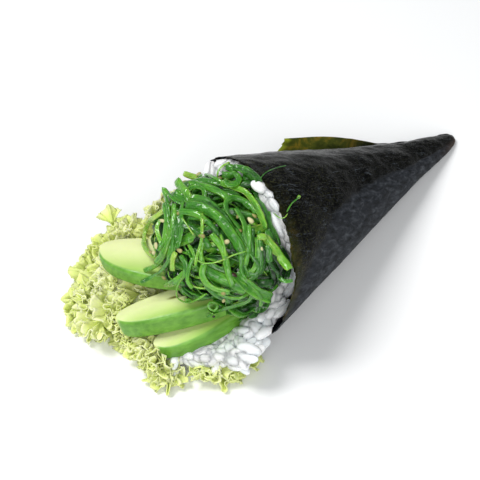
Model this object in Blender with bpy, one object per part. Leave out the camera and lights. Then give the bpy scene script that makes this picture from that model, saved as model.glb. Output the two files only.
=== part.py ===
"""Temaki hand roll lying on its side: a half sheet of nori rolled into a cone round a bed of rice,
with a curly lettuce leaf, three avocado slices and a mound of seaweed salad spilling from its mouth.

Metres, +Z up. The cone's lowest side runs along X on the table, with the tip at +X and the mouth at -X.
The origin is on the table, under the middle of the whole roll.
"""

import math

import bmesh
import bpy
from mathutils import Vector, noise

# The cone. Angles round its axis, and round the wrap, are in degrees: 0 is the top and 90 is the -Y side.
APEX = Vector((0.0845, -0.0078, -0.0009))  # where the sides would meet, just past the blunt tip
HALF_ANGLE = math.radians(14.0)
SHEET_GAUGE = 0.0006
LAYER_PITCH = 0.0010  # from one layer of the wrap to the same face of the next
WRAP_START, WRAP_END = 55.0, 660.0
SHEET_DEPTH = 0.117  # from the apex to the sheet's far edge, square to it
SQUARE_AT = 340.0  # where round the wrap that distance is measured
FREE_END_WIDTH, INNER_END_WIDTH = 0.083, 0.098
FLAT_FROM = 518.0  # from here on the wrap's underside lies flat on the table
FLAP_ANGLE = 58.0  # how much of the outer end stands off the cone, where it stands off most
FLAP_LIFT = 0.0055
FLAP_TRIM = 0.0150  # how much shorter the outer end is than the rest of its side
FLAP_LEAVES_FROM, FLAP_LEAVES_TO = 0.024, 0.064  # how far from the apex the flap starts and is fully off
# Where round the wrap the far edge is folded or worn back, over what width, and how far.
RIM_WEAR = ((275.0, 35.0, 0.008), (185.0, 45.0, 0.014), (478.0, 24.0, 0.004))
INNER_TIP = 0.012  # how much further from the apex the inner turns start
BLUNT = 0.0058  # how far the tip stops short of the apex
CLEARANCE = 0.0005  # between pieces that touch

# The filling. Places in the mouth are measured from the apex.
RICE_START = 0.016
RICE_MOUTH = 0.1125  # how far along the axis the rice fills the upper half of the mouth
RICE_TONGUE = 0.033  # how much further it runs below
RICE_LUMPS = 0.0020
RICE_CROWN = 0.0015  # how far the middle of the rice stands out past its edge
RICE_UNDERCUT = 0.010  # how steeply the spilt rice's front rises from the table
MOUTH_ALONG = 0.1215  # how far along the axis the cone stops widening the rice
SLUMP, SLUMP_FROM = 0.0080, 0.1260  # how far the spilt rice bulges past the cone, and where it starts
SLICE_ENDS = 2.2  # how blunt a slice's ends are, as the power of its outline
LEAF_CENTRE = Vector((-0.1315, 0.001))
LEAF_FROM, LEAF_TO = 72.0, 277.0  # the fan's two ends, in degrees from +X
LEAF_REACH, LEAF_FAR_REACH = 0.0240, 0.0428  # from its centre to its edge, on the near side and the far side
LEAF_FOLD = 0.0115  # how far the edge is drawn in where the leaf folds up against the nori
# The leaf's tips and notches: direction, width in degrees, and how far each stands out.
LEAF_TIPS = ((94.0, 8.0, 0.0030), (206.0, 11.0, 0.0035), (223.0, 5.0, -0.0035), (268.0, 10.0, 0.0035))
LEAF_BED, LEAF_FAR_BED = 0.0024, 0.0125  # its thickness inside the frill, and how much more on the far side
LEAF_FRILL, LEAF_FAR_FRILL = 0.0034, 0.0112
LEAF_FOLD_RISE, LEAF_TIP_RISE = 0.0190, 0.0045  # how much higher it stands against the nori, and beside that
LEAF_RIPPLES = 13  # in a whole turn
LEAF_EDGE = 0.5  # how thick the leaf is at its edge, as a share of the frill
LEAF_LIFT = 0.001  # how far the edge curls up off the table
MOUND_CENTRE = Vector((-0.1185, 0.0005, 0.0335))
MOUND_RADII = Vector((0.0205, 0.0240, 0.0180))
MOUND_LUMPS = ((0.10, 0.55), (0.05, 0.25))  # how high and how wide, as shares of the radii
CRUMB_GAP = 0.00002  # vertices closer than this are one, where a cut's leftovers are told apart

SIN, COS = math.sin(HALF_ANGLE), math.cos(HALF_ANGLE)
AXIS = Vector((-COS, 0, SIN))
UPWARD = Vector((SIN, 0, COS))
NEAR = Vector((0, -1, 0))


def clear_scene():
    for old in list(bpy.data.objects):
        bpy.data.objects.remove(old)


def material(name, colour, roughness):
    made = bpy.data.materials.new(name)
    made.use_nodes = True
    surface = made.node_tree.nodes["Principled BSDF"]
    surface.inputs["Base Color"].default_value = (*colour, 1)
    surface.inputs["Roughness"].default_value = roughness
    surface.inputs["Metallic"].default_value = 0.0
    return made


def add_object(name, bm, finish):
    """A named object from a bmesh, with its faces turned outwards and its bent quads split."""
    bmesh.ops.recalc_face_normals(bm, faces=bm.faces)
    bmesh.ops.triangulate(bm, faces=bm.faces)
    mesh = bpy.data.meshes.new(name)
    bm.to_mesh(mesh)
    bm.free()
    mesh.shade_smooth()
    mesh.set_sharp_from_angle(angle=math.radians(50))
    mesh.materials.append(finish)
    made = bpy.data.objects.new(name, mesh)
    bpy.context.scene.collection.objects.link(made)
    return made


def smoothstep(value):
    value = min(1.0, max(0.0, value))
    return value * value * (3 - 2 * value)


def bell(value, centre, width):
    return math.exp(-(((value - centre) / width) ** 2))


def swirl(point, scale, seed):
    """Smooth noise from about -1 to 1, the same each run."""
    return noise.noise(Vector(point) / scale + Vector((seed, 3.7 * seed, 1.3 * seed)))


# ---------------------------------------------------------------- nori


def radial(around):
    angle = math.radians(around)
    return math.cos(angle) * UPWARD + math.sin(angle) * NEAR


def on_cone(slant, around, depth=0.0):
    """The point this far from the apex along the sheet, sunk this deep below the outermost layer."""
    return APEX + slant * COS * AXIS + (slant * SIN - depth) * radial(around)


def cone_place(point):
    """How far a point near the cone is from its apex, and the angle round its axis."""
    from_apex = point - APEX
    off_axis = from_apex - from_apex.dot(AXIS) * AXIS
    around = math.degrees(math.atan2(off_axis.dot(NEAR), off_axis.dot(UPWARD)))
    return from_apex.length, around % 360


def layer_depth(wrap):
    """How deep this stretch of the wrap lies below the outermost one."""
    return (WRAP_END - wrap) / 360 * LAYER_PITCH


def layer_floor(wrap):
    """How high the table keeps this stretch of the wrap, where the roll's weight has flattened it."""
    return max(0.0, FLAT_FROM - wrap) / 360 * LAYER_PITCH


def rim_slant(wrap):
    """Where the sheet's far edge or side edge crosses this line of the cone, with its corners rounded."""
    flat_angle = math.radians(wrap - SQUARE_AT) * SIN
    far_edge = SHEET_DEPTH / math.cos(min(abs(flat_angle), 1.3))
    width = FREE_END_WIDTH if flat_angle > 0 else INNER_END_WIDTH
    side_edge = width / max(math.sin(abs(flat_angle)), 0.05)
    rounded = (far_edge**-6 + side_edge**-6) ** (-1 / 6)
    worn = sum(depth * bell(wrap, centre, width) for centre, width, depth in RIM_WEAR)
    return rounded - worn - FLAP_TRIM * smoothstep((wrap - 585) / 60)


def tip_slant(wrap):
    """The inner turn of the sheet starts further up than the outer one."""
    return BLUNT + INNER_TIP * smoothstep((430 - wrap) / 150)


def sheet_point(wrap, slant, depth):
    """A point of the rolled sheet, at this depth below its outer face."""
    below = layer_depth(wrap) + depth
    leaving = smoothstep((slant - FLAP_LEAVES_FROM) / (FLAP_LEAVES_TO - FLAP_LEAVES_FROM))
    leaves = WRAP_END - FLAP_ANGLE * leaving
    if wrap <= leaves:
        point = on_cone(slant, wrap, below)
    else:
        turned = math.radians(wrap - leaves)
        point = on_cone(slant, leaves, below - FLAP_LIFT * turned**2)
        point += turned * slant * SIN * radial(leaves + 90)
    point.z = max(point.z, layer_floor(wrap) + depth)
    return point


def build_nori(finish, turns=80, rows=11):
    bm = bmesh.new()
    faces_of_sheet = []
    for depth in (0.0, SHEET_GAUGE):
        grid = []
        for i in range(turns + 1):
            wrap = WRAP_START + (WRAP_END - WRAP_START) * i / turns
            low, high = tip_slant(wrap), rim_slant(wrap)
            steps = [low + (high - low) * j / rows for j in range(rows + 1)]
            grid.append([bm.verts.new(sheet_point(wrap, slant, depth)) for slant in steps])
        faces_of_sheet.append(grid)
    outer, inner = faces_of_sheet
    for i in range(turns):
        for j in range(rows):
            for grid in (outer, inner):
                bm.faces.new((grid[i][j], grid[i + 1][j], grid[i + 1][j + 1], grid[i][j + 1]))
        for j in (0, rows):
            bm.faces.new((outer[i][j], outer[i + 1][j], inner[i + 1][j], inner[i][j]))
    for j in range(rows):
        for i in (0, turns):
            bm.faces.new((outer[i][j], outer[i][j + 1], inner[i][j + 1], inner[i][j]))
    return add_object("nori", bm, finish)


# ---------------------------------------------------------------- rice


def innermost(around):
    """Where along the wrap the innermost layer is at this angle round the cone."""
    around %= 360
    return around if around >= WRAP_START else around + 360


def inside_depth(around):
    """How deep the innermost layer's inner face lies at this angle round the cone."""
    wrap = innermost(around)
    step = smoothstep((wrap - WRAP_START - 335) / 20)  # beside the inner end of the sheet
    return layer_depth(wrap) + SHEET_GAUGE + CLEARANCE + step * LAYER_PITCH


def cone_inside(along, around):
    """The cone's inner radius this far along its axis. Past the mouth the rice slumps out of its near side."""
    slump = SLUMP * smoothstep((along - SLUMP_FROM) / 0.006) * bell(around % 360, 132, 34)
    return min(along, MOUTH_ALONG) * SIN / COS - inside_depth(around) + slump


def rice_edge(along, around, share=1.0):
    """A point of the rice, at this share of the way from the cone's axis to its inside."""
    point = APEX + along * AXIS + share * cone_inside(along, around) * radial(around)
    lowest = layer_floor(innermost(around)) + SHEET_GAUGE + CLEARANCE
    point.z = max(point.z, lowest + RICE_UNDERCUT * (1 - share))
    return point


def rice_reach(side, height):
    """How far along the axis the rice comes, over the mouth's disc from -1 to 1 each way, nearer and higher."""
    low = min(1.0, max(0.0, (-height - 0.36) / 0.58))
    tongue = low * smoothstep((side + 0.75) / 0.9)
    tongue += 0.35 * smoothstep((side - 0.50) / 0.3) * bell(height, -0.5, 0.22)
    lumps = RICE_LUMPS * swirl((side * 0.5, height * 0.5, 0.0), 0.16, 4.1)
    return RICE_MOUTH + RICE_TONGUE * tongue + lumps


def build_rice(finish, around_steps=36, side_rings=13, cap_rings=7):
    bm = bmesh.new()
    rings = []
    angles = [360 * k / around_steps for k in range(around_steps)]
    for ring in range(side_rings + 1):
        verts = []
        for around in angles:
            edge = rice_reach(math.sin(math.radians(around)), math.cos(math.radians(around)))
            along = edge - (edge - RICE_START) * (1 - ring / side_rings) ** 1.9
            verts.append(bm.verts.new(rice_edge(along, around)))
        rings.append(verts)
    for ring in range(1, cap_rings):
        share = 1 - ring / cap_rings
        verts = []
        for around in angles:
            turned = math.radians(around)
            along = rice_reach(share * math.sin(turned), share * math.cos(turned)) + RICE_CROWN * (1 - share)
            verts.append(bm.verts.new(rice_edge(along, around, share)))
        rings.append(verts)
    for first, second in zip(rings, rings[1:]):
        for k in range(around_steps):
            after = (k + 1) % around_steps
            bm.faces.new((first[k], first[after], second[after], second[k]))
    near_tip = bm.verts.new(APEX + RICE_START * AXIS)
    middle = bm.verts.new(APEX + (rice_reach(0, 0) + RICE_CROWN) * AXIS)
    for centre, ring in ((near_tip, rings[0]), (middle, rings[-1])):
        for k in range(around_steps):
            bm.faces.new((centre, ring[k], ring[(k + 1) % around_steps]))
    return add_object("rice", bm, finish)


# ---------------------------------------------------------------- avocado


def slice_outline(length, skin_bulge, pit_bulge, steps=36):
    """A slice from above, lying along +X from its outer end: the skin side is at -Y and the pit side at +Y."""
    points = []
    for k in range(steps):
        angle = 2 * math.pi * k / steps
        cosine, sine = math.cos(angle), math.sin(angle)
        x = length / 2 * (1 - math.copysign(abs(cosine) ** (2 / SLICE_ENDS), cosine))
        bulge = pit_bulge if sine > 0 else skin_bulge
        points.append(Vector((x, bulge * math.copysign(abs(sine) ** (2 / SLICE_ENDS), sine))))
    return points


def build_slice(name, finish, end, heading, slope, roll, length, skin_bulge, pit_bulge, thick):
    """A slice from its outer end, at the middle of its thickness, heading into the roll in degrees from +X."""
    bm = bmesh.new()
    outline = slice_outline(length, skin_bulge, pit_bulge)
    middle = Vector((length / 2, 0))
    # Each level of the slice: its height, how far its edge is drawn in, and how far the skin bellies out.
    levels = (
        (-thick / 2, 0.0014, 0.0),
        (-thick / 2 + 0.0012, 0.0002, 0.0006),
        (0.0, 0.0, 0.0010),
        (thick / 2 - 0.0008, 0.0, 0.0006),
        (thick / 2, 0.0007, 0.0),
    )
    rings = []
    for height, drawn_in, belly in levels:
        ring = []
        for spot in outline:
            out = Vector(((spot.x - middle.x) / length * skin_bulge * 2, spot.y)).normalized()
            moved = spot - drawn_in * out + Vector((0, min(0.0, spot.y) / skin_bulge * belly))
            ring.append(bm.verts.new((moved.x, moved.y, height)))
        rings.append(ring)
    for first, second in zip(rings, rings[1:]):
        for k in range(len(first)):
            after = (k + 1) % len(first)
            bm.faces.new((first[k], first[after], second[after], second[k]))
    bm.faces.new(rings[0])
    bm.faces.new(rings[-1])
    made = add_object(name, bm, finish)
    made.location = (APEX.x + end[0], APEX.y + end[1], end[2])
    made.rotation_euler = [math.radians(angle) for angle in (roll, -slope, heading)]
    return made


# Outer end, heading, slope up into the roll, roll about the long axis, length, how far the skin side and
# the pit side bulge from the line between the ends, and thickness.
SLICES = {
    "avocado_slice_1": ((-0.1443, 0.0298, 0.0216), -55, 10, -4, 0.050, 0.0105, 0.0055, 0.0062),
    "avocado_slice_2": ((-0.1550, 0.0082, 0.0142), -29, 12, -8, 0.048, 0.0062, 0.0052, 0.0078),
    "avocado_slice_3": ((-0.1500, -0.0036, 0.0090), -9, 10, -8, 0.046, 0.0082, 0.0040, 0.0062),
}


# ---------------------------------------------------------------- lettuce


def leaf_reach(angle):
    """How far the leaf's frill reaches from its centre, in a direction in degrees from +X."""
    reach = LEAF_REACH + (LEAF_FAR_REACH - LEAF_REACH) * smoothstep((163 - angle) / 28)
    reach -= LEAF_FOLD * smoothstep((89 - angle) / 10)
    reach += sum(out * bell(angle, centre, width) for centre, width, out in LEAF_TIPS)
    reach += 0.0010 * math.cos(math.radians(angle * LEAF_RIPPLES))
    return reach + 0.0008 * math.cos(math.radians(angle * 29 + 50))


def leaf_height(angle, share):
    """The height of the leaf's top at this share of its reach: a bed that rises into a frill on the far side."""
    far = smoothstep((200 - angle) / 45)
    bed = LEAF_BED + LEAF_FAR_BED * far * smoothstep((share - 0.1) / 0.5)
    frill = LEAF_FRILL + LEAF_FAR_FRILL * far
    frill += LEAF_FOLD_RISE * smoothstep((88 - angle) / 9) + LEAF_TIP_RISE * bell(angle, 95, 10)
    ripple = 0.0012 * math.sin(math.radians(angle * LEAF_RIPPLES)) * share * far
    return bed + (frill - bed) * smoothstep((share - 0.45) / 0.4) + ripple


def build_lettuce(finish, around_steps=44, rings=7):
    """The part of the leaf that spills from the mouth, as a thick ruffled fan on the table."""
    bm = bmesh.new()
    hub = APEX.xy + LEAF_CENTRE
    columns = []
    for k in range(around_steps + 1):
        angle = LEAF_FROM + (LEAF_TO - LEAF_FROM) * k / around_steps
        direction = Vector((math.cos(math.radians(angle)), math.sin(math.radians(angle))))
        top, bottom = [], []
        for ring in range(1, rings + 1):
            share = ring / rings
            spot = hub + direction * leaf_reach(angle) * share
            high, low = leaf_height(angle, share), 0.0
            if ring == rings:
                high, low = LEAF_EDGE * high + LEAF_LIFT, LEAF_LIFT
            top.append(bm.verts.new((*spot, high)))
            bottom.append(bm.verts.new((*spot, low)))
        columns.append((top, bottom))
    hub_top = bm.verts.new((*hub, leaf_height(LEAF_TO, 0)))
    hub_bottom = bm.verts.new((*hub, 0))
    for (top, bottom), (next_top, next_bottom) in zip(columns, columns[1:]):
        bm.faces.new((hub_top, top[0], next_top[0]))
        bm.faces.new((hub_bottom, next_bottom[0], bottom[0]))
        for j in range(rings - 1):
            bm.faces.new((top[j], top[j + 1], next_top[j + 1], next_top[j]))
            bm.faces.new((bottom[j], next_bottom[j], next_bottom[j + 1], bottom[j + 1]))
        bm.faces.new((top[-1], bottom[-1], next_bottom[-1], next_top[-1]))
    for top, bottom in (columns[0], columns[-1]):
        bm.faces.new((hub_top, top[0], bottom[0], hub_bottom))
        for j in range(rings - 1):
            bm.faces.new((top[j], top[j + 1], bottom[j + 1], bottom[j]))
    return add_object("lettuce", bm, finish)


# ---------------------------------------------------------------- seaweed salad


def build_mound(finish):
    """The heap of seaweed out to its uneven outline, kept inside the nori where it enters the mouth."""
    bm = bmesh.new()
    bmesh.ops.create_icosphere(bm, subdivisions=4, radius=1.0)
    for vert in bm.verts:
        way = vert.co.normalized()
        lump = 1 + sum(high * swirl(way, wide, 1 / wide) for high, wide in MOUND_LUMPS)
        offset = MOUND_CENTRE + Vector(way[i] * MOUND_RADII[i] * lump for i in range(3))
        vert.co = kept_in_mouth(Vector((APEX.x, APEX.y, 0)) + offset)
    return add_object("seaweed_salad", bm, finish)


def kept_in_mouth(point):
    """Draws a point in to the cone's inside where the nori is round it."""
    slant, around = cone_place(point)
    along = (point - APEX).dot(AXIS)
    middle = APEX + along * AXIS
    rim = max(rim_slant(wrap) for wrap in (around, around + 360) if WRAP_START <= wrap <= WRAP_END)
    room = cone_inside(along, around)
    if along / COS > rim + 0.0012 or (point - middle).length <= room:
        return point
    return middle + (point - middle).normalized() * room


# ---------------------------------------------------------------- fitting together


def evaluated_mesh(source):
    bpy.context.view_layer.update()
    graph = bpy.context.evaluated_depsgraph_get()
    return bpy.data.meshes.new_from_object(source.evaluated_get(graph))


def grown_cutter(source):
    """A hidden copy of a piece with its surface moved out by the clearance."""
    cutter = bpy.data.objects.new(source.name + "_cutter", evaluated_mesh(source))
    cutter.matrix_world = source.matrix_world
    bm = bmesh.new()
    bm.from_mesh(cutter.data)
    bm.normal_update()
    moves = [vert.normal * CLEARANCE for vert in bm.verts]
    for vert, move in zip(bm.verts, moves):
        vert.co += move
    bm.to_mesh(cutter.data)
    bm.free()
    cutter.hide_render = True
    cutter.display_type = "WIRE"
    bpy.context.scene.collection.objects.link(cutter)
    return cutter


def cut_by(target, cutters):
    """Cuts the neighbours' room out of a soft piece, and keeps its largest body."""
    for cutter in cutters:
        cut = target.modifiers.new("room for " + cutter.name, "BOOLEAN")
        cut.operation = "DIFFERENCE"
        cut.object = cutter
        cut.solver = "EXACT"
    cut_mesh = evaluated_mesh(target)
    target.modifiers.clear()
    target.data = cut_mesh
    keep_largest(target.data)


def keep_largest(mesh):
    """Deletes the crumbs that a cut has left beside the main body."""
    bm = bmesh.new()
    bm.from_mesh(mesh)
    bmesh.ops.remove_doubles(bm, verts=bm.verts, dist=CRUMB_GAP)
    left = set(bm.faces)
    bodies = []
    while left:
        start = left.pop()
        body, to_visit = {start}, [start]
        while to_visit:
            beside = {face for edge in to_visit.pop().edges for face in edge.link_faces} - body
            body |= beside
            to_visit.extend(beside)
        left -= body
        bodies.append(body)
    largest = max(bodies, key=len)
    crumbs = [face for body in bodies if body is not largest for face in body]
    bmesh.ops.delete(bm, geom=crumbs, context="FACES")
    bm.to_mesh(mesh)
    bm.free()


def build():
    """Each soft piece gives way to those built before it."""
    clear_scene()
    build_nori(material("nori", (0.012, 0.016, 0.014), 0.45))
    avocado_finish = material("avocado", (0.60, 0.72, 0.24), 0.45)
    pieces = [build_slice(name, avocado_finish, *sizes) for name, sizes in SLICES.items()]
    pieces.append(build_lettuce(material("lettuce", (0.50, 0.62, 0.16), 0.5)))
    pieces.append(build_rice(material("rice", (0.82, 0.84, 0.82), 0.35)))
    pieces.append(build_mound(material("seaweed_salad", (0.06, 0.27, 0.03), 0.25)))
    cutters = [grown_cutter(piece) for piece in pieces[:-1]]
    for place, piece in enumerate(pieces):
        if place > 0:
            cut_by(piece, cutters[:place])


build()
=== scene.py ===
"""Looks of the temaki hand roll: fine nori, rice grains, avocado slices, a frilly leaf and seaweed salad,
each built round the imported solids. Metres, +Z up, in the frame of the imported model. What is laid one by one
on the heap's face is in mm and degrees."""

import math

import bpy
import numpy as np
from mathutils import Matrix, Vector, noise
from mathutils.bvhtree import BVHTree


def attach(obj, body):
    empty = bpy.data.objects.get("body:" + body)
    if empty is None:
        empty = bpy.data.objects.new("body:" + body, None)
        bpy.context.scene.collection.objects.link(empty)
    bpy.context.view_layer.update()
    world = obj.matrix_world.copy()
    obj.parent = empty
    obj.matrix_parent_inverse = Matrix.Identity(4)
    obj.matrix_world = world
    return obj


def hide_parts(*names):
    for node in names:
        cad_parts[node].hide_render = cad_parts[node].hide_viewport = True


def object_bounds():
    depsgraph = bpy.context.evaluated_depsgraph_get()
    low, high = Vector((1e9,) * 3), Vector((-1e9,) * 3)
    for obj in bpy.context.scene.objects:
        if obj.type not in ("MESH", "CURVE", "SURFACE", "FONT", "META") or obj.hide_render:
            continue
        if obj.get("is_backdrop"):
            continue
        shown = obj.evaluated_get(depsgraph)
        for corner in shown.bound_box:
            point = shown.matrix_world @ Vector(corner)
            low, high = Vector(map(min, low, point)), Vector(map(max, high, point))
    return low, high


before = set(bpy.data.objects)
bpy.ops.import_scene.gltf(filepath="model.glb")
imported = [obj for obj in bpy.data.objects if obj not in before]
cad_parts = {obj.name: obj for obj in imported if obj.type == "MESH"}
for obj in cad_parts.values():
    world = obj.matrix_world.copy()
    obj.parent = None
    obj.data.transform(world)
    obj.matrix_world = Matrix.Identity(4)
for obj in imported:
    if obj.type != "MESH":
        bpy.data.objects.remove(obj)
cad_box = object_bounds()
MM = 0.001
UP = Vector((0, 0, 1))
TABLE_GAP = 0.0002

# ---- the cone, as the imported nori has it

APEX = Vector((0.0845, -0.0078, -0.0009))
HALF_ANGLE = math.radians(14.0)
SHEET_GAUGE = 0.0003
LAYER_PITCH = 0.0010
# Wraps are angles round the cone that count on from layer to layer. 0 is the top, 90 the near side.
WRAP_START, WRAP_END = 55.0, 660.0
# The flat sheet: how deep it is, the wrap at which it lies square, how wide it is to each side of that, and
# how sharp its corners are.
SHEET_DEPTH = 0.117
SQUARE_AT = 340.0
FREE_END_WIDTH, INNER_END_WIDTH = 0.083, 0.098
CORNER_POWER = 6
# The wrap at which the outermost layer meets the table. Those inside it lie a layer higher.
FLAT_FROM = 518.0
# The free end: its degrees that stand off, its lift, its trim, and the slants between which it comes away.
FLAP_ANGLE = 58.0
FLAP_LIFT = 0.0064
FLAP_TRIM, FLAP_TRIM_FROM = 0.0110, 585.0
FLAP_LEAVES_FROM, FLAP_LEAVES_TO = 0.030, 0.066
# Where the rim is worn back: at which wrap, over how many degrees, and how deep.
RIM_WEAR = ((275.0, 35.0, 0.008), (185.0, 45.0, 0.014), (478.0, 24.0, 0.004), (434.0, 15.0, 0.0028))
# How far from the apex the sheet starts, and how much farther its inner end does.
BLUNT, INNER_TIP = 0.0058, 0.012

SIN, COS = math.sin(HALF_ANGLE), math.cos(HALF_ANGLE)
AXIS = Vector((-COS, 0, SIN))
UPWARD = Vector((SIN, 0, COS))
NEAR = Vector((0, -1, 0))

# The camera's turn about Z and its tilt up from straight down. The heap's face is square to it.
VIEW_TURN, VIEW_TILT = math.radians(-41.642), math.radians(38.0)
FACE_CENTRE = Vector((APEX.x - 0.1185, APEX.y + 0.0005, 0.0335))
FACE_TURN = Matrix.Rotation(VIEW_TURN, 3, "Z") @ Matrix.Rotation(VIEW_TILT, 3, "X")
RIGHTWARD, UPHILL, FRONT = (FACE_TURN.col[k] for k in range(3))


def smoothstep(value):
    value = min(1.0, max(0.0, value))
    return value * value * (3 - 2 * value)


def bell(value, centre, width):
    return math.exp(-(((value - centre) / width) ** 2))


def swirl(point, scale, seed=0.0):
    """Smooth noise from about -1 to 1, the same each run."""
    return noise.noise(Vector(point) / scale + Vector((seed, 3.7 * seed, 1.3 * seed)))


def radial(around):
    angle = math.radians(around)
    return math.cos(angle) * UPWARD + math.sin(angle) * NEAR


def cone_place(point):
    """How far a point near the cone is from its apex, and the angle round its axis."""
    from_apex = point - APEX
    off_axis = from_apex - from_apex.dot(AXIS) * AXIS
    around = math.degrees(math.atan2(off_axis.dot(NEAR), off_axis.dot(UPWARD)))
    return from_apex.length, around % 360


def rim_slant(wrap):
    """How far from the apex the sheet's outer edge is at this wrap."""
    flat_angle = math.radians(wrap - SQUARE_AT) * SIN
    far_edge = SHEET_DEPTH / math.cos(min(abs(flat_angle), 1.3))
    width = FREE_END_WIDTH if flat_angle > 0 else INNER_END_WIDTH
    side_edge = width / max(math.sin(abs(flat_angle)), 0.05)
    rounded = (far_edge**-CORNER_POWER + side_edge**-CORNER_POWER) ** (-1 / CORNER_POWER)
    worn = sum(depth * bell(wrap, centre, width) for centre, width, depth in RIM_WEAR)
    return rounded - worn - FLAP_TRIM * smoothstep((wrap - FLAP_TRIM_FROM) / 60)


def tip_slant(wrap):
    return BLUNT + INNER_TIP * smoothstep((290 - wrap) / 120)


def fullness(around, slant):
    """How far the fine sheet stands out beyond the plain cone."""
    far_top = 0.0021 * bell((around + 180) % 360, 165, 60) * smoothstep((slant - 0.05) / 0.06)
    near = 0.0008 * bell(around % 360, 95, 45) * smoothstep((slant - 0.004) / 0.01)
    return far_top + near + 0.0011 * (1 - smoothstep((slant - 0.006) / 0.03))


def sheet_point(wrap, slant, depth):
    """A point of the rolled sheet, at this depth below the middle of its outermost layer."""
    below = (WRAP_END - wrap) / 360 * LAYER_PITCH + depth
    below += 0.0006 * smoothstep((wrap - 570) / 90) * (1 - smoothstep((slant - 0.03) / 0.02))
    leaving = smoothstep((slant - FLAP_LEAVES_FROM) / (FLAP_LEAVES_TO - FLAP_LEAVES_FROM))
    leaves = WRAP_END - FLAP_ANGLE * leaving
    turned = math.radians(max(0.0, wrap - leaves))
    kept = min(wrap, leaves)
    closing = 0.12 + 0.88 * math.sqrt(1 - max(0.0, 1 - (slant - BLUNT) / 0.0024) ** 2)
    radius = (slant * SIN - below + fullness(kept, slant)) * closing
    point = APEX + slant * COS * AXIS + (radius + FLAP_LIFT * turned**2) * radial(kept)
    point += turned * slant * SIN * radial(kept + 90)
    point.z = max(point.z, max(0.0, FLAT_FROM - wrap) / 360 * LAYER_PITCH + depth)
    return point


def outermost_rim(around):
    """How far from the apex the nori reaches at this angle round the cone."""
    return max(rim_slant(wrap) for wrap in (around, around + 360) if WRAP_START <= wrap <= WRAP_END)


def exposed(point, beyond):
    """Whether a point lies this far beyond the nori's rim."""
    slant, around = cone_place(point)
    return slant > outermost_rim(around) + beyond


# ---- meshes


class Pile:
    """Gathers shapes into one mesh, with a number for each vertex under each name."""

    def __init__(self):
        self.points, self.faces, self.values, self.count = [], [], {}, 0

    def add(self, points, faces, **values):
        self.points.append(np.asarray(points, float))
        self.faces.extend(tuple(self.count + k for k in face) for face in faces)
        for name, value in values.items():
            self.values.setdefault(name, []).append(np.broadcast_to(value, len(points)))
        self.count += len(points)

    def add_sheet(self, grid, gauge, **values):
        """Adds a grid of points as the middle of a thin closed sheet, kept above the table."""
        normals = np.cross(np.gradient(grid, axis=0), np.gradient(grid, axis=1))
        normals /= np.maximum(np.linalg.norm(normals, axis=2, keepdims=True), 1e-12)
        both = np.concatenate([grid - normals * gauge / 2, grid + normals * gauge / 2]).reshape(-1, 3)
        both[:, 2] = np.maximum(both[:, 2], 0.0)
        shape = grid.shape[:2]
        doubled = {name: np.tile(np.broadcast_to(value, shape).ravel(), 2) for name, value in values.items()}
        self.add(both, sheet_faces(*shape), **doubled)

    def piece(self, name, finish, slot, *nodes):
        mesh = bpy.data.meshes.new(name)
        mesh.from_pydata(np.concatenate(self.points).tolist(), [], self.faces)
        for value_name, parts in self.values.items():
            layer = mesh.attributes.new(value_name, "FLOAT", "POINT")
            layer.data.foreach_set("value", np.concatenate(parts).astype(np.float32))
        made = bpy.data.objects.new(name, mesh)
        bpy.context.scene.collection.objects.link(made)
        return finished(made, finish, slot, *nodes)


def finished(made, finish, slot, *nodes):
    """Gives a piece its look and its body, and hides the nodes it stands for. The slot is not used."""
    made.data.shade_smooth()
    made.data.materials.clear()
    made.data.materials.append(finish)
    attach(made, "root")
    if nodes:
        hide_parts(*nodes)
    return made


def grid_faces(rows, columns, closed=False):
    """Quads of a grid of points, row by row. A closed grid joins its last column to its first."""
    faces = []
    for i in range(rows - 1):
        here, below = i * columns, (i + 1) * columns
        for j in range(columns if closed else columns - 1):
            after = (j + 1) % columns
            faces.append((here + j, here + after, below + after, below + j))
    return faces


def tube_faces(rows, columns):
    """A closed tube with its two ends capped."""
    first = tuple(reversed(range(columns)))
    last = tuple((rows - 1) * columns + k for k in range(columns))
    return grid_faces(rows, columns, closed=True) + [first, last]


def sheet_faces(rows, columns):
    """A thin sheet as a closed solid: the points of its one face, then those of its other."""
    count = rows * columns
    top = grid_faces(rows, columns)
    faces = [face[::-1] for face in top] + [tuple(count + k for k in face) for face in top]
    index = np.arange(count).reshape(rows, columns)
    edge = np.concatenate([index[0], index[1:, -1], index[-1, -2::-1], index[-2:0:-1, 0]]).tolist()
    for here, after in zip(edge, edge[1:] + edge[:1]):
        faces.append((here, after, count + after, count + here))
    return faces


def ball(rings=8, segments=10):
    """A unit ball's points from pole to pole along X, and its faces."""
    points = [(-1.0, 0.0, 0.0)]
    for i in range(1, rings):
        polar = math.pi * i / rings
        for j in range(segments):
            turn = 2 * math.pi * j / segments
            girth = math.sin(polar)
            points.append((-math.cos(polar), girth * math.cos(turn), girth * math.sin(turn)))
    points.append((1.0, 0.0, 0.0))
    last = len(points) - 1
    faces = [tuple(1 + k for k in face) for face in grid_faces(rings - 1, segments, closed=True)]
    for j in range(segments):
        after = (j + 1) % segments
        faces.append((0, 1 + after, 1 + j))
        faces.append((last, last - segments + j, last - segments + after))
    return np.array(points), faces


def turned_frame(normal, spin, lean=0.0):
    """A turn that lays X along a surface at this spin, with Z along its normal, then leans X up from it."""
    side = normal.orthogonal().normalized()
    across = normal.cross(side)
    along = math.cos(spin) * side + math.sin(spin) * across
    along = (math.cos(lean) * along + math.sin(lean) * normal).normalized()
    up = (normal - normal.dot(along) * along).normalized()
    return np.array([along, up.cross(along), up])


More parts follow.
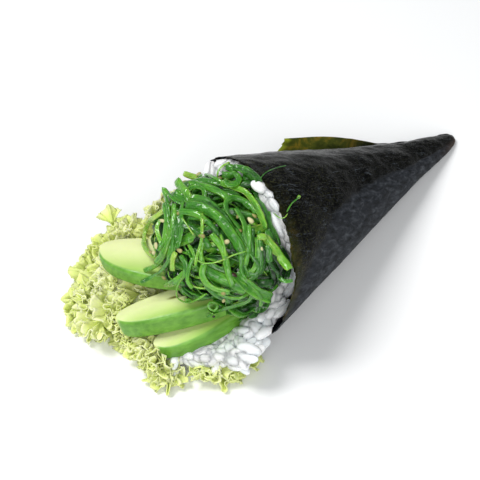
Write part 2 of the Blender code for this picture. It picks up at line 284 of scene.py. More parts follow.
def tree_of(*nodes, pieces=()):
    """A tree to cast rays on, of these CAD nodes and pieces."""
    corners, faces = [], []
    for made in [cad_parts[node] for node in nodes] + list(pieces):
        mesh = made.data
        faces += [tuple(len(corners) + k for k in face.vertices) for face in mesh.polygons]
        corners += [vert.co.copy() for vert in mesh.vertices]
    return BVHTree.FromPolygons(corners, faces)


def spots_on(node, count, rng, apart, keep):
    """Random places on a CAD node where keep(point, normal) allows, at least this far apart."""
    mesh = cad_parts[node].data
    mesh.calc_loop_triangles()
    corners = np.array([vert.co for vert in mesh.vertices])
    triangles = corners[np.array([tri.vertices for tri in mesh.loop_triangles])]
    one_side, other_side = triangles[:, 1] - triangles[:, 0], triangles[:, 2] - triangles[:, 0]
    crosses = np.cross(one_side, other_side)
    areas = np.linalg.norm(crosses, axis=1)
    chosen = rng.choice(len(areas), count, p=areas / areas.sum())
    one, two = rng.random(count), rng.random(count)
    over = one + two > 1
    one[over], two[over] = 1 - one[over], 1 - two[over]
    points = triangles[chosen, 0] + one[:, None] * one_side[chosen] + two[:, None] * other_side[chosen]
    kept = []
    for point, cross in zip(points, crosses[chosen]):
        point, normal = Vector(point), Vector(cross).normalized()
        if keep(point, normal) and all((point - other).length > apart for other, _ in kept):
            kept.append((point, normal))
    return kept


def push_out(mesh, distance):
    """Moves each vertex out along its normal by distance(place)."""
    normals = [vert.normal.copy() for vert in mesh.vertices]
    for vert, normal in zip(mesh.vertices, normals):
        vert.co += normal * distance(vert.co)


def heap_core(name, node, inset, voxel, finish, slot, relief):
    """A node's own shape drawn in from its surface, under the loose things that lie on it."""
    made = bpy.data.objects.new(name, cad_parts[node].data.copy())
    bpy.context.scene.collection.objects.link(made)
    for step in (0.0, inset):
        if step:
            push_out(made.data, lambda place: -inset)
        remesh = made.modifiers.new("remesh", "REMESH")
        remesh.mode = "VOXEL"
        remesh.voxel_size = voxel
        smooth = made.modifiers.new("smooth", "SMOOTH")
        smooth.factor = 0.5
        smooth.iterations = 3
        bpy.context.view_layer.update()
        graph = bpy.context.evaluated_depsgraph_get()
        made.data = bpy.data.meshes.new_from_object(made.evaluated_get(graph))
        made.modifiers.clear()
    push_out(made.data, lambda place: relief * (swirl(place, 0.0032, 2.0) + 0.5 * swirl(place, 0.0015, 4.0)))
    finished(made, finish, slot, node)


# ---- routes on the heap's face


def face_point(x, y, off=0.0):
    """A place in mm on the heap's face, this far in front of it in metres."""
    return FACE_CENTRE + x * MM * RIGHTWARD + y * MM * UPHILL + off * FRONT


def blurred(values, width=3):
    kernel = np.ones(width) / width
    padded = np.pad(values, ((width // 2, width // 2), (0, 0)), mode="edge")
    return np.stack([np.convolve(column, kernel, mode="valid") for column in padded.T], axis=1)


def smooth_route(knots, step):
    """An even run of points through the knots, on a curve."""
    knots = np.array(knots, float)
    ends = np.concatenate([[2 * knots[0] - knots[1]], knots, [2 * knots[-1] - knots[-2]]])
    points = []
    for before, start, stop, after in zip(ends, ends[1:], ends[2:], ends[3:]):
        count = max(2, int(np.linalg.norm(stop - start) / step))
        for t in np.arange(count) / count:
            swing = (stop - before) * t + (2 * before - 5 * start + 4 * stop - after) * t**2
            points.append(start + 0.5 * (swing + (3 * start - before - 3 * stop + after) * t**3))
    points.append(knots[-1])
    return np.array(points)


# The step along a route in mm, and how far in front of the face its rays start.
ROUTE_STEP, LOOK_FROM = 0.7, 0.08


def laid_on(tree, knots, lift):
    """A route on the face, laid on what is under it: its points, and the way its surface looks."""
    route = smooth_route(knots, ROUTE_STEP)
    depths, ups = [], []
    for x, y in route.tolist():
        hit, normal, _, distance = tree.ray_cast(face_point(x, y, LOOK_FROM), -FRONT)
        depths.append(LOOK_FROM - distance if hit else (depths[-1] if depths else -0.01))
        ups.append((normal if hit and normal.dot(FRONT) > 0 else FRONT) + 0.8 * FRONT)
    depths = np.array(depths)
    high = [depths[max(0, k - 3) : k + 4].max() for k in range(len(depths))]
    level = blurred(np.array(high)[:, None], 7 if len(high) > 8 else 3)[:, 0] + lift * MM
    path = [face_point(x, y, off) for (x, y), off in zip(route.tolist(), level.tolist())]
    return np.array(path), blurred(np.array(ups), 3)


# ---- materials


class Finish:
    """A material's node tree, built up by short calls."""

    def __init__(self, name, **sockets):
        self.material = bpy.data.materials.new(name)
        self.material.use_nodes = True
        self.tree = self.material.node_tree
        self.surface = self.tree.nodes["Principled BSDF"]
        for socket, value in sockets.items():
            self.surface.inputs[socket.replace("_", " ")].default_value = value

    def node(self, kind, **settings):
        made = self.tree.nodes.new(kind)
        for name, value in settings.items():
            setattr(made, name, value)
        return made

    def link(self, source, target):
        self.tree.links.new(source, target)

    def place(self, scale=(1, 1, 1)):
        coordinates = self.node("ShaderNodeTexCoord")
        mapping = self.node("ShaderNodeMapping")
        mapping.inputs["Scale"].default_value = scale
        self.link(coordinates.outputs["Object"], mapping.inputs["Vector"])
        return mapping.outputs["Vector"]

    def noise(self, scale, detail=3.0, rough=0.55, distort=0.0, place=None, ridged=False):
        made = self.node("ShaderNodeTexNoise")
        if ridged:
            made.noise_type = "RIDGED_MULTIFRACTAL"
        settings = {"Scale": scale, "Detail": detail, "Roughness": rough, "Distortion": distort}
        for name, value in settings.items():
            made.inputs[name].default_value = value
        self.link(place or self.place(), made.inputs["Vector"])
        return made.outputs["Fac"]

    def run(self, across, along):
        """Coordinates that run along and across a piece, from its own two values."""
        made = self.node("ShaderNodeCombineXYZ")
        for socket, name, scale in ((0, "across", across), (1, "along", along)):
            self.link(self.times(self.value(name), float(scale)), made.inputs[socket])
        return made.outputs[0]

    def value(self, name):
        return self.node("ShaderNodeAttribute", attribute_name=name).outputs["Fac"]

    def fill(self, inputs, given):
        """Sets each input to its number or colour, or links it to its socket."""
        for socket, value in zip(inputs, given):
            if isinstance(value, (int, float)):
                socket.default_value = value
            elif isinstance(value, tuple):
                socket.default_value = (*value, 1)
            else:
                self.link(value, socket)

    def math(self, operation, *given):
        made = self.node("ShaderNodeMath", operation=operation)
        self.fill(made.inputs, given)
        return made.outputs[0]

    def times(self, first, second):
        return self.math("MULTIPLY", first, second)

    def times_plus(self, first, second, third):
        return self.math("MULTIPLY_ADD", first, second, third)

    def ramp(self, value, *stops):
        """Colours or greys at places from 0 to 1 along a value."""
        made = self.node("ShaderNodeValToRGB")
        ramp = made.color_ramp
        while len(ramp.elements) < len(stops):
            ramp.elements.new(0.5)
        for element, (place, colour) in zip(ramp.elements, stops):
            element.position = place
            element.color = (colour,) * 3 + (1,) if isinstance(colour, (int, float)) else (*colour, 1)
        self.link(value, made.inputs["Fac"])
        return made.outputs["Color"]

    def mix(self, share, first, second, blend="MIX"):
        made = self.node("ShaderNodeMix", data_type="RGBA", blend_type=blend)
        self.fill((made.inputs[0], made.inputs[6], made.inputs[7]), (share, first, second))
        return made.outputs[2]

    def bump(self, height, strength, distance, under=None):
        made = self.node("ShaderNodeBump")
        made.inputs["Strength"].default_value = strength
        made.inputs["Distance"].default_value = distance
        self.link(height, made.inputs["Height"])
        if under is not None:
            self.link(under, made.inputs["Normal"])
        return made.outputs["Normal"]

    def colour(self, socket):
        self.link(socket, self.surface.inputs["Base Color"])

    def rough(self, socket):
        self.link(socket, self.surface.inputs["Roughness"])

    def normal(self, socket, coat=None):
        self.link(socket, self.surface.inputs["Normal"])
        self.link(coat or socket, self.surface.inputs["Coat Normal"])

    def mottled(self, scale, detail, dark, light, light_from=0.7):
        self.colour(self.ramp(self.noise(scale, detail), (0.3, dark), (light_from, light)))

    def uneven(self, scale, strength, distance):
        self.normal(self.bump(self.noise(scale, 3), strength, distance))

    def lit_through(self, share, colour):
        """Lets this share of the light through the piece."""
        through, both = self.node("ShaderNodeBsdfTranslucent"), self.node("ShaderNodeMixShader")
        self.link(colour, through.inputs["Color"])
        both.inputs[0].default_value = share
        self.link(self.surface.outputs[0], both.inputs[1])
        self.link(through.outputs[0], both.inputs[2])
        self.link(both.outputs[0], self.tree.nodes["Material Output"].inputs["Surface"])


def nori_colour(made, blotch, speck, painted_glint_lines):
    """Black where moist; bluish grey where dry, lightened as a painted sheen; olive where thin, brightened as
    painted light shining through; lime at the free edge; brown at the tip; pale painted glints on the ridge
    lines.
    """
    wet = made.value("wet")
    mottle = made.noise(1.0, 5, 0.72, 0.5, place=made.run(560, 210))
    # Bluish grey of the drier double sheet, lightened to stand in for its sheen: partly painted sheen.
    dry = made.ramp(
        mottle,
        (0.34, (0.007, 0.008, 0.009)),
        (0.52, (0.027, 0.031, 0.038)),
        (0.68, (0.080, 0.088, 0.100)),
    )
    moist = made.ramp(blotch, (0.3, (0.0008, 0.0011, 0.0012)), (0.7, (0.0032, 0.0034, 0.0030)))
    near_rim = made.ramp(made.value("mouth"), (0.0, 0.15), (1.0, 1.0))
    specks = made.times(made.ramp(speck, (0.53, 0.0), (0.62, 1.0)), near_rim)
    colour = made.mix(wet, dry, made.mix(specks, moist, (0.050, 0.052, 0.019)))
    # Pale bluish grey on the ridge lines of the moist sheet: painted glints.
    colour = made.mix(made.times(painted_glint_lines, 0.9), colour, (0.088, 0.108, 0.128))
    # Olive where the sheet is thin: its own tint, brightened as painted light shining through it.
    olive = made.ramp(
        blotch,
        (0.25, (0.008, 0.014, 0.002)),
        (0.50, (0.060, 0.072, 0.008)),
        (0.70, (0.220, 0.150, 0.014)),
    )
    colour = made.mix(made.value("thin"), colour, olive)
    colour = made.mix(made.value("lime"), colour, (0.38, 0.45, 0.035))
    brown = made.ramp(speck, (0.3, (0.040, 0.028, 0.016)), (0.8, (0.12, 0.055, 0.024)))
    return made.mix(made.value("tip"), colour, brown)


def nori_finish():
    """Moist and wrinkled over the rice, with pale glints painted on its ridges; drier and matte where the sheet
    lies double, with a bluish painted sheen.
    """
    made = Finish("nori sheet", IOR=1.45, Specular_IOR_Level=0.06)
    wet = made.value("wet")
    blotch = made.noise(160, 5, 0.65, 0.6)
    fibre = made.noise(1500, 3, 0.7, 1.0)
    speck = made.noise(1300, 3, 0.65, 0.5)
    patch = made.noise(110, 3, 0.6, 0.5)
    wander = made.noise(1.0, 4, 0.60, 0.25, place=made.run(250, 42))
    cross = made.noise(1.0, 4, 0.62, 0.3, place=made.run(520, 210))
    ridges = []
    for source, fine in ((wander, 0.011), (cross, 0.008)):
        off = made.math("ABSOLUTE", made.math("SUBTRACT", source, 0.5))
        ridges.append(made.ramp(off, (0.0, 1.0), (fine, 0.0)))
    ridge = made.math("MAXIMUM", *ridges)
    # Where the ridge lines show on the moist sheet: they raise the bump and are also painted in as pale glints.
    shown = made.times(made.times(ridge, wet), made.ramp(patch, (0.49, 0.0), (0.60, 1.0)))
    colour = nori_colour(made, blotch, speck, shown)
    made.colour(made.mix(0.4, colour, made.ramp(fibre, (0.3, 0.5), (0.7, 1.0)), "MULTIPLY"))
    dry_rough = made.ramp(blotch, (0.3, 0.48), (0.8, 0.64))
    wet_rough = made.ramp(blotch, (0.3, 0.17), (0.8, 0.30))
    made.rough(made.mix(wet, dry_rough, wet_rough))
    soft = made.bump(made.noise(1.0, 4, 0.65, 1.2, place=made.run(240, 170)), 0.4, 0.0005)
    fine = made.bump(fibre, 0.35, 0.00012, under=soft)
    height = made.math("ADD", shown, made.times(ridge, 0.2))
    made.normal(made.bump(height, 0.8, 0.00035, under=fine))
    return made.material


def deep_finish(name, ior, weight, scale, radius, **sockets):
    """A finish that light sinks into: its share of the light, how deep, and how far for each colour."""
    sockets.update(IOR=ior, Subsurface_Weight=weight, Subsurface_Scale=scale, Subsurface_Radius=radius)
    return Finish(name, **sockets)


def grain_finish():
    made = deep_finish("rice", 1.38, 0.7, 0.0026, (0.9, 0.95, 1.0), Roughness=0.36)
    tone = made.times_plus(made.value("tone"), 0.6, made.times(made.noise(330, 3, 0.5, 0.3), 0.5))
    whites = (0.1, (0.84, 0.91, 0.95)), (0.5, (0.91, 0.96, 0.985)), (0.9, (0.96, 0.985, 0.99))
    made.colour(made.ramp(tone, *whites))
    made.uneven(500, 0.35, 0.0003)
    return made.material


def rice_core_finish():
    made = deep_finish("rice core", 1.38, 0.6, 0.0026, (0.9, 0.95, 1.0), Roughness=0.36)
    made.mottled(220, 3, (0.86, 0.91, 0.94), (0.94, 0.97, 0.985))
    made.uneven(300, 0.8, 0.0008)
    return made.material


def avocado_finish():
    """Cream flesh beside the pit, green towards the skin, and a deep green rind face."""
    made = deep_finish("avocado flesh", 1.42, 0.15, 0.002, (0.9, 1.0, 0.4))
    drift = made.times_plus(made.noise(70, 3, 0.5, 0.4), 0.10, -0.05)
    flesh = made.ramp(
        made.math("ADD", made.value("depth"), drift),
        (0.00, (0.21, 0.43, 0.060)),
        (0.13, (0.38, 0.58, 0.13)),
        (0.33, (0.57, 0.70, 0.25)),
        (0.60, (0.70, 0.755, 0.37)),
        (1.00, (0.71, 0.745, 0.38)),
    )
    streak = made.noise(500, 3, 0.6, 0.2, place=made.place((0.25, 1, 1)))
    skin = made.ramp(streak, (0.3, (0.085, 0.25, 0.020)), (0.7, (0.18, 0.42, 0.048)))
    colour = made.mix(made.value("rind"), flesh, skin)
    made.colour(made.mix(made.value("mark"), colour, (0.21, 0.20, 0.035)))
    made.rough(made.ramp(made.noise(240, 3), (0.3, 0.28), (0.7, 0.46)))
    grain = made.bump(made.noise(900, 3), 0.18, 0.0002)
    dents = made.noise(150, 3, 0.5, 0.5, place=made.place((0.4, 1, 1)))
    made.normal(made.bump(dents, 0.45, 0.0009, under=grain))
    return made.material


def leaf_finish():
    """Yellow-green, brighter towards the frill and paler at the rib."""
    made = deep_finish("leaf", 1.38, 0.2, 0.0008, (0.9, 1.0, 0.3), Roughness=0.42)
    mottle = made.noise(260, 4, 0.6, 0.6)
    shade = made.times_plus(mottle, 0.40, made.times(made.value("frill"), 0.42))
    green = made.ramp(
        made.times_plus(made.value("tone"), 0.32, shade),
        (0.18, (0.49, 0.62, 0.12)),
        (0.42, (0.75, 0.86, 0.25)),
        (0.68, (0.90, 0.97, 0.40)),
        (0.98, (0.97, 0.99, 0.64)),
    )
    pale = made.ramp(mottle, (0.3, (0.78, 0.86, 0.46)), (0.8, (0.94, 0.97, 0.72)))
    colour = made.mix(made.value("rib"), green, pale)
    made.colour(colour)
    made.lit_through(0.25, colour)
    made.normal(made.bump(made.noise(420, 4, 0.6, 1.0, ridged=True), 0.25, 0.0003))
    return made.material


def seaweed_finish():
    """Glossy, jelly-like ribbons from deep green to lime, paler at their edges and finely lined."""
    coat = {"Coat_Weight": 1.0, "Coat_Roughness": 0.03}
    made = deep_finish("seaweed", 1.42, 0.35, 0.0011, (0.6, 1.0, 0.25), **coat)
    streak = made.ramp(made.noise(1.0, 4, 0.65, 0.3, place=made.run(3.0, 170)), (0.34, 0.0), (0.66, 1.0))
    cloud = made.noise(240, 3, 0.55, 0.5)
    edge = made.math("POWER", made.math("ABSOLUTE", made.value("edge")), 3.0)
    shade = made.times_plus(streak, 0.30, made.times_plus(cloud, 0.50, -0.47))
    green = made.ramp(
        made.math("ADD", made.value("tone"), made.times_plus(edge, 0.16, shade)),
        (0.00, (0.004, 0.030, 0.003)),
        (0.25, (0.015, 0.120, 0.006)),
        (0.50, (0.062, 0.330, 0.012)),
        (0.74, (0.20, 0.57, 0.032)),
        (1.00, (0.46, 0.72, 0.10)),
    )
    made.colour(green)
    made.lit_through(0.20, green)
    made.rough(made.ramp(cloud, (0.3, 0.18), (0.7, 0.36)))
    lines = made.bump(streak, 0.6, 0.00022)
    pimples = made.bump(made.noise(1100, 4, 0.7, 0.6), 0.9, 0.0005, under=lines)
    made.normal(pimples, coat=made.bump(made.noise(560, 1, 0.4, 0.6), 0.8, 0.0006))
    return made.material


def salad_core_painted_shade_finish():
    made = Finish("seaweed core painted shade", Roughness=0.8, Specular_IOR_Level=0.15)
    # Near-black green: the salad's own deep green, darkened as painted shade for the gaps between the ribbons.
    made.mottled(300, 4, (0.003, 0.018, 0.004), (0.010, 0.060, 0.008))
    return made.material


def seed_finish():
    made = Finish("sesame", Roughness=0.5)
    tone = made.times_plus(made.noise(600, 3), 0.3, made.times(made.value("tone"), 0.7))
    tans = (0.1, (0.15, 0.14, 0.03)), (0.45, (0.30, 0.28, 0.08)), (0.9, (0.62, 0.59, 0.31))
    made.colour(made.ramp(tone, *tans))
    made.uneven(1500, 0.3, 0.0001)
    return made.material


def dark_finish():
    made = Finish("dark bits", Roughness=0.3)
    made.mottled(500, 3, (0.010, 0.005, 0.003), (0.055, 0.022, 0.010), light_from=0.8)
    made.uneven(800, 0.4, 0.0003)
    return made.material


# ---- nori

# Where the sheet turns double and dry on the near side, and its colour is lightened by a painted sheen: how far
# from the apex, and the angle round the cone.
DRY_EDGE = ((0.012, 60.0), (0.035, 54.0), (0.060, 43.0), (0.085, 44.0), (0.100, 56.0), (0.120, 79.0))


def wetness(around, slant, spot):
    """1 where the sheet lies single over the moist rice, 0 where it lies double and drier and its colour takes
    a painted sheen.
    """
    if around >= 180:
        return smoothstep((around - 286) / 10)
    dry_edge = float(np.interp(slant, *zip(*DRY_EDGE)))
    return smoothstep((dry_edge + 4 * swirl(spot, 0.006) - around) / 7)


def crinkle(spot, flap):
    """How far the sheet's fine folds lift it at this spot of the flat sheet, and more so on the flap."""
    lift = 0.00026 * swirl((spot.x / 2.2, spot.y, 0), 0.0040, 1.0)
    lift += 0.00018 * swirl((spot.x / 1.5, spot.y, 0), 0.0019, 2.0)
    lift += 0.0005 * swirl(spot, 0.016, 7.0)
    return lift + flap * 0.0016 * swirl(spot, 0.020, 9.0)


def sheet_tints(around, slant, high, spot, flap):
    """How thin the sheet looks, which brightens it as painted light shining through, how brown at the tip, how
    lime at the free edge, how flecked by the mouth.
    """
    beyond = slant - high
    rim = 0.75 * smoothstep((beyond + 0.007) / 0.006) * bell(around, 62, 34)
    thin = max(flap, rim * (0.5 + 0.5 * swirl(spot, 0.002, 4.0)))
    brown = 0.8 * bell(slant, BLUNT, 0.009) * bell(around, 78, 22) + 0.5 * bell(slant, BLUNT, 0.002)
    lime = flap * smoothstep((beyond + 0.0035) / 0.003) * (0.6 + 0.6 * swirl(spot, 0.002, 6.0))
    mouth = smoothstep((beyond + 0.045) / 0.045) * (0.6 + 0.6 * swirl(spot, 0.008, 8.0))
    return thin, brown, lime, mouth


def build_nori(turns=420, rows=104):
    names = ("wet", "thin", "tip", "lime", "mouth", "across", "along")
    values = np.zeros((len(names), turns + 1, rows + 1))
    grid = np.zeros((turns + 1, rows + 1, 3))
    for i in range(turns + 1):
        wrap = WRAP_START + (WRAP_END - WRAP_START) * i / turns
        low, high = tip_slant(wrap), rim_slant(wrap) - 0.0055 * smoothstep((wrap - 642) / 18)
        high += 0.0010 * swirl((wrap / 6, 0, 0), 1.0, 3.0) + 0.0007 * swirl((wrap / 1.7, 0, 0), 1.0, 5.0)
        around = wrap % 360
        flat_angle = math.radians(wrap - SQUARE_AT) * SIN
        for j in range(rows + 1):
            slant = low + (high - low) * j / rows
            spot = Vector((slant * math.cos(flat_angle), slant * math.sin(flat_angle), 0))
            wet = wetness(around, slant, spot)
            flap = smoothstep((wrap - WRAP_END + FLAP_ANGLE - 6) / 12) * smoothstep((slant - 0.036) / 0.02)
            folds = min(0.00045, max(-0.00025, crinkle(spot, flap)))
            depth = SHEET_GAUGE / 2 - (0.4 + 0.6 * wet) * folds - flap * 0.001
            grid[i, j] = sheet_point(wrap, slant, depth)
            tints = sheet_tints(around, slant, high, spot, flap)
            values[:, i, j] = (wet * (1 - flap), *tints, spot.y, spot.x)
    pile = Pile()
    pile.add_sheet(grid, SHEET_GAUGE, **dict(zip(names, values)))
    return pile.piece("nori_sheet", nori_finish(), "nori", "nori")


# ---- rice

GRAIN = np.array((0.0078, 0.0037, 0.0031))
# The bed's layers: how deep the grains lie in it, and how far apart.
RICE_LAYERS = ((0.0012, 0.0030), (0.0034, 0.0036))
# How low on the face the bed shows.
LOWEST_RICE = -0.0388
# The strips of rice that show along the mouth: width and route on the face.
RIM_RICE = (
    (3.2, (14.2, 17.4), (15.8, 14), (17.6, 11), (18.8, 8.4), (19.6, 5.4), (20.2, 2.4), (20.8, -0.4)),
    (3.8, (-2.2, 22), (-0.9, 24.2), (1.0, 25.0), (3.4, 24.8), (6.4, 24.2)),
    (3.4, (19.8, -12.4), (19.0, -14.6), (18.2, -17), (16.6, -20)),
    (3.6, (-14.2, -31.6), (-11, -33.2), (-7, -34.4), (-2, -35.2), (4, -35.4), (8, -34.6), (10.5, -32.6)),
)
# How far they lie off what is under them, and how far apart across a strip.
RIM_LIFT, RIM_SPACING = 0.9, 1.9
# How far the nori may push a grain of the strips in before it is left out.
MOST_SQUASH = 0.0010


def grain_points(unit, rng):
    """A short plump grain: blunt ends, a shallow groove along its side and a slight bend."""
    size = GRAIN / 2 * rng.normal(1.0, (0.09, 0.08, 0.08), 3)
    body = np.sign(unit) * np.abs(unit) ** np.array([1.0, 0.92, 0.92])
    x, y, z = (body * size).T
    share = unit[:, 0]
    girth = 1 - 0.10 * share - 0.16 * np.exp(-((share + 0.92) / 0.20) ** 2)
    girth = girth * (1 - 0.05 * np.exp(-((unit[:, 1] - 0.9) / 0.3) ** 2))
    bend = rng.normal(0, 0.00028) * (share**2 - 0.4)
    return np.stack([x, y * girth + bend, z * girth], axis=1)


def kept_inside(points, gap=0.0004):
    """The points, drawn in to the cone's inside wherever the nori is round them."""
    kept = points.copy()
    for k, point in enumerate(points):
        point = Vector(point)
        slant, around = cone_place(point)
        if slant < outermost_rim(around) + 0.001:
            along = (point - APEX).dot(AXIS)
            middle = APEX + along * AXIS
            wrap = around if around >= WRAP_START else around + 360
            room = along * SIN / COS - (WRAP_END - wrap) / 360 * LAYER_PITCH - SHEET_GAUGE - gap
            room += fullness(around, slant)
            out = point - middle
            if out.length > room:
                kept[k] = middle + out.normalized() * room
    return kept


def above_table(points):
    """Lifts points that reach down to the table just off it."""
    points[:, 2] += max(0.0, TABLE_GAP - points[:, 2].min())
    return points


def bed_of_rice(pile, unit, faces, rng):
    """Grains lying every way over the bed, wherever it shows."""

    def showing(point, normal):
        return exposed(point, -0.007) and (point - FACE_CENTRE).dot(UPHILL) > LOWEST_RICE

    for deep, apart in RICE_LAYERS:
        for point, normal in spots_on("rice", 9000, rng, apart, showing):
            turn = turned_frame(normal, rng.uniform(0, math.tau), rng.normal(0, 0.28))
            roll = Matrix.Rotation(rng.uniform(0, math.tau), 3, "X")
            grain = grain_points(unit, rng) @ np.array(roll).T
            centre = np.array(point - normal * (deep + rng.normal(0, 0.0004)))
            placed = above_table(kept_inside(grain @ turn + centre))
            pile.add(placed, faces, tone=rng.random())


def rice_along_rim(pile, unit, faces, rng):
    """Grains lying mostly along the strips of the mouth."""
    everything = tree_of("rice", "seaweed_salad", "lettuce")
    for width, *knots in RIM_RICE:
        path, ups = laid_on(everything, knots, RIM_LIFT)
        for k in range(0, len(path) - 1, 2):
            normal = Vector(ups[k]).normalized()
            along = Vector(path[min(k + 2, len(path) - 1)] - path[max(k - 2, 0)]).normalized()
            across = normal.cross(along)
            for place in np.arange(-width / 2, width / 2 + 0.1, RIM_SPACING):
                spin = rng.normal(0, 0.5)
                lengthways = (math.cos(spin) * along + math.sin(spin) * across).normalized()
                turn = np.array([lengthways, normal.cross(lengthways), normal])
                centre = path[k] + np.array(across) * place * MM + rng.normal(0, 0.0003, 3)
                free = above_table(grain_points(unit, rng) @ turn + centre)
                kept = kept_inside(free)
                if np.abs(kept - free).max() < MOST_SQUASH:
                    pile.add(kept, faces, tone=rng.random())


def build_rice():
    rng = np.random.default_rng(11)
    unit, faces = ball()
    pile = Pile()
    bed_of_rice(pile, unit, faces, rng)
    rice_along_rim(pile, unit, faces, rng)
    pile.piece("rice_grains", grain_finish(), "rice", "rice")
    heap_core("rice_core", "rice", 0.0016, 0.0011, rice_core_finish(), "rice", 0.0005)


# ---- avocado

# Each slice: its end, from the apex and up from the table, its heading, slope and roll in degrees, its
# length, the bulge of its skin side and of its pit side, and its thickness.
SLICES = {
    "avocado_slice_1": ((-0.1443, 0.0298, 0.0216), -55, 10, -4, 0.050, 0.0105, 0.0055, 0.0062),
    "avocado_slice_2": ((-0.1550, 0.0082, 0.0142), -29, 12, -8, 0.048, 0.0062, 0.0052, 0.0078),
    "avocado_slice_3": ((-0.1500, -0.0036, 0.0090), -9, 10, -8, 0.046, 0.0082, 0.0040, 0.0062),
}
# Brown marks on the slices' upper faces: where along and across, and how long and wide.
MARKS = {
    "avocado_slice_2": ((0.0195, 0.0010), (0.0022, 0.0008)),
    "avocado_slice_3": ((0.0240, 0.0030), (0.0018, 0.0010)),
}
SLICE_ENDS = 2.2
# How far in the cut faces' edge lies, as a share of the outline, and the power that squares off the wall.
FACE_SHARE, WALL_POWER = 0.86, 0.42


def signed_power(value, power):
    return math.copysign(abs(value) ** power, value)


def slice_outline(length, skin_bulge, pit_bulge, steps):
    outline = []
    for k in range(steps):
        angle = math.tau * k / steps
        x = length / 2 * (1 - signed_power(math.cos(angle), 2 / SLICE_ENDS))
        bulge = pit_bulge if math.sin(angle) > 0 else skin_bulge
        outline.append((x, bulge * signed_power(math.sin(angle), 2 / SLICE_ENDS)))
    return outline


def build_slice(node, finish, seed, end, heading, slope, roll, length, skin_bulge, pit_bulge, thick):
    steps, face_rings, wall_rings = 168, 22, 12
    outline = slice_outline(length, skin_bulge, pit_bulge, steps)
    rings, depths, rinds = [], [], []

    def add_ring(share, height, out, rind):
        for x, y in outline:
            skinward = max(0.0, -y / skin_bulge)
            spot = Vector(((x - length / 2) * share + length / 2, y * share))
            away = Vector(((x - length / 2) / length * skin_bulge * 2, y)).normalized()
            spot += away * out * (0.35 + 0.65 * skinward)
            wave = 0.00030 * swirl((spot.x / 2.0, spot.y, seed), 0.005, seed)
            wave += 0.0005 * math.sin(3.1 * x / length + seed)
            rings.append((spot.x, spot.y, height + wave))
            depths.append((skin_bulge + spot.y) / (skin_bulge + pit_bulge))
            rinds.append(rind * smoothstep((skinward - 0.12) / 0.25))

    half = thick / 2
    shares = [(i + 1) / (face_rings + 1) * FACE_SHARE for i in range(face_rings)]
    for share in shares:
        add_ring(share, -half, 0.0, 0.0)
    for i in range(wall_rings + 1):
        turn = math.pi * (i / wall_rings - 0.5)
        rounding = max(0.0, math.cos(turn))
        out = 0.0010 * math.cos(turn) - 0.0006 * (1 - rounding**0.5) - 0.0004
        height = half * signed_power(math.sin(turn), WALL_POWER)
        add_ring(1.0, height, out, smoothstep((rounding - 0.10) / 0.22))
    for share in reversed(shares):
        add_ring(share, half, 0.0, 0.0)
    count = len(rings)
    points = np.array(rings + [(length / 2, 0.0, -half), (length / 2, 0.0, half)])
    faces = grid_faces(count // steps, steps, closed=True)
    for k in range(steps):
        after = (k + 1) % steps
        faces.append((count, after, k))
        faces.append((count + 1, count - steps + k, count - steps + after))
    mark = np.zeros(len(points))
    if node in MARKS:
        place, size = MARKS[node]
        spread = np.linalg.norm((points[:, :2] - place) / size, axis=1)
        mark = np.clip(1.6 - 1.4 * spread, 0, 1) * (points[:, 2] > 0)
    turn = Matrix.Rotation(math.radians(heading), 3, "Z") @ Matrix.Rotation(math.radians(-slope), 3, "Y")
    turn = turn @ Matrix.Rotation(math.radians(roll), 3, "X")
    placed = points @ np.array(turn).T + np.array((APEX.x + end[0], APEX.y + end[1], end[2]))
    pile = Pile()
    pile.add(placed, faces, depth=depths + [0.5, 0.5], rind=rinds + [0.0, 0.0], mark=mark)
    pile.piece(node.replace("avocado_", "flesh_"), finish, "avocado", node)


def build_slices():
    finish = avocado_finish()
    for seed, (node, sizes) in enumerate(SLICES.items()):
        build_slice(node, finish, 1.7 + seed, *sizes)


# ---- lettuce

HUB = Vector((APEX.x - 0.1315, APEX.y + 0.001, 0.0))
# Where the leaf's edge juts out or is notched: the direction from its hub, how wide in degrees, and how far.
LEAF_TIPS = ((94.0, 8.0, 0.0030), (206.0, 10.0, 0.0012), (223.0, 7.0, -0.0070), (268.0, 10.0, 0.0035))
# How high the frill stands off the table, by direction, in mm.
LEAF_RISE = (
    (55, 31), (65, 32), (72, 27), (84, 25), (92, 23), (100, 17.5), (110, 14), (130, 12.5), (150, 11.5),
    (170, 9.5), (200, 6), (280, 5),
)
# The leaf's blades: the fan from one direction to another, how far out its base and its edge lie as shares of
# the reach, how high they are as shares of the rise, how much it is ruffled, how pale it is, and its seed.
BLADES = (
    (74, 277, 0.20, 0.84, 0.05, 0.25, 0.8, 0.0, 1.0),
    (74, 277, 0.50, 0.93, 0.04, 0.60, 1.0, 0.0, 2.0),
    (106, 134, 0.15, 0.74, 0.60, 0.66, 0.12, 1.0, 3.0),
    (55, 72, 0.66, 0.98, 0.40, 1.00, 0.8, 0.5, 4.0),
)
BLADE_GAUGE, LOBE_GAUGE = 0.00030, 0.00028
# The rows of small lobes on them: how far out as a share of the reach, how high as a share of the rise, the
# number of lobes, how steeply they rise in degrees, their length in mm, and the fan they fill.
LOBE_ROWS = (
    (0.92, 0.08, 26, 12, 7.2, 76, 214),
    (0.88, 0.45, 26, 30, 7.2, 76, 214),
    (1.00, 0.10, 8, 20, 6.4, 234, 276),
    (0.92, 0.92, 6, 50, 5.5, 57, 74),
    (0.90, 0.80, 6, 40, 5.5, 72, 92),
    (0.76, 0.75, 27, 40, 7.2, 76, 208),
    (0.56, 0.82, 17, 45, 7.0, 78, 198),
    (0.36, 0.80, 8, 45, 6.4, 84, 180),
    (0.62, 0.35, 10, 30, 7.0, 96, 208),
)
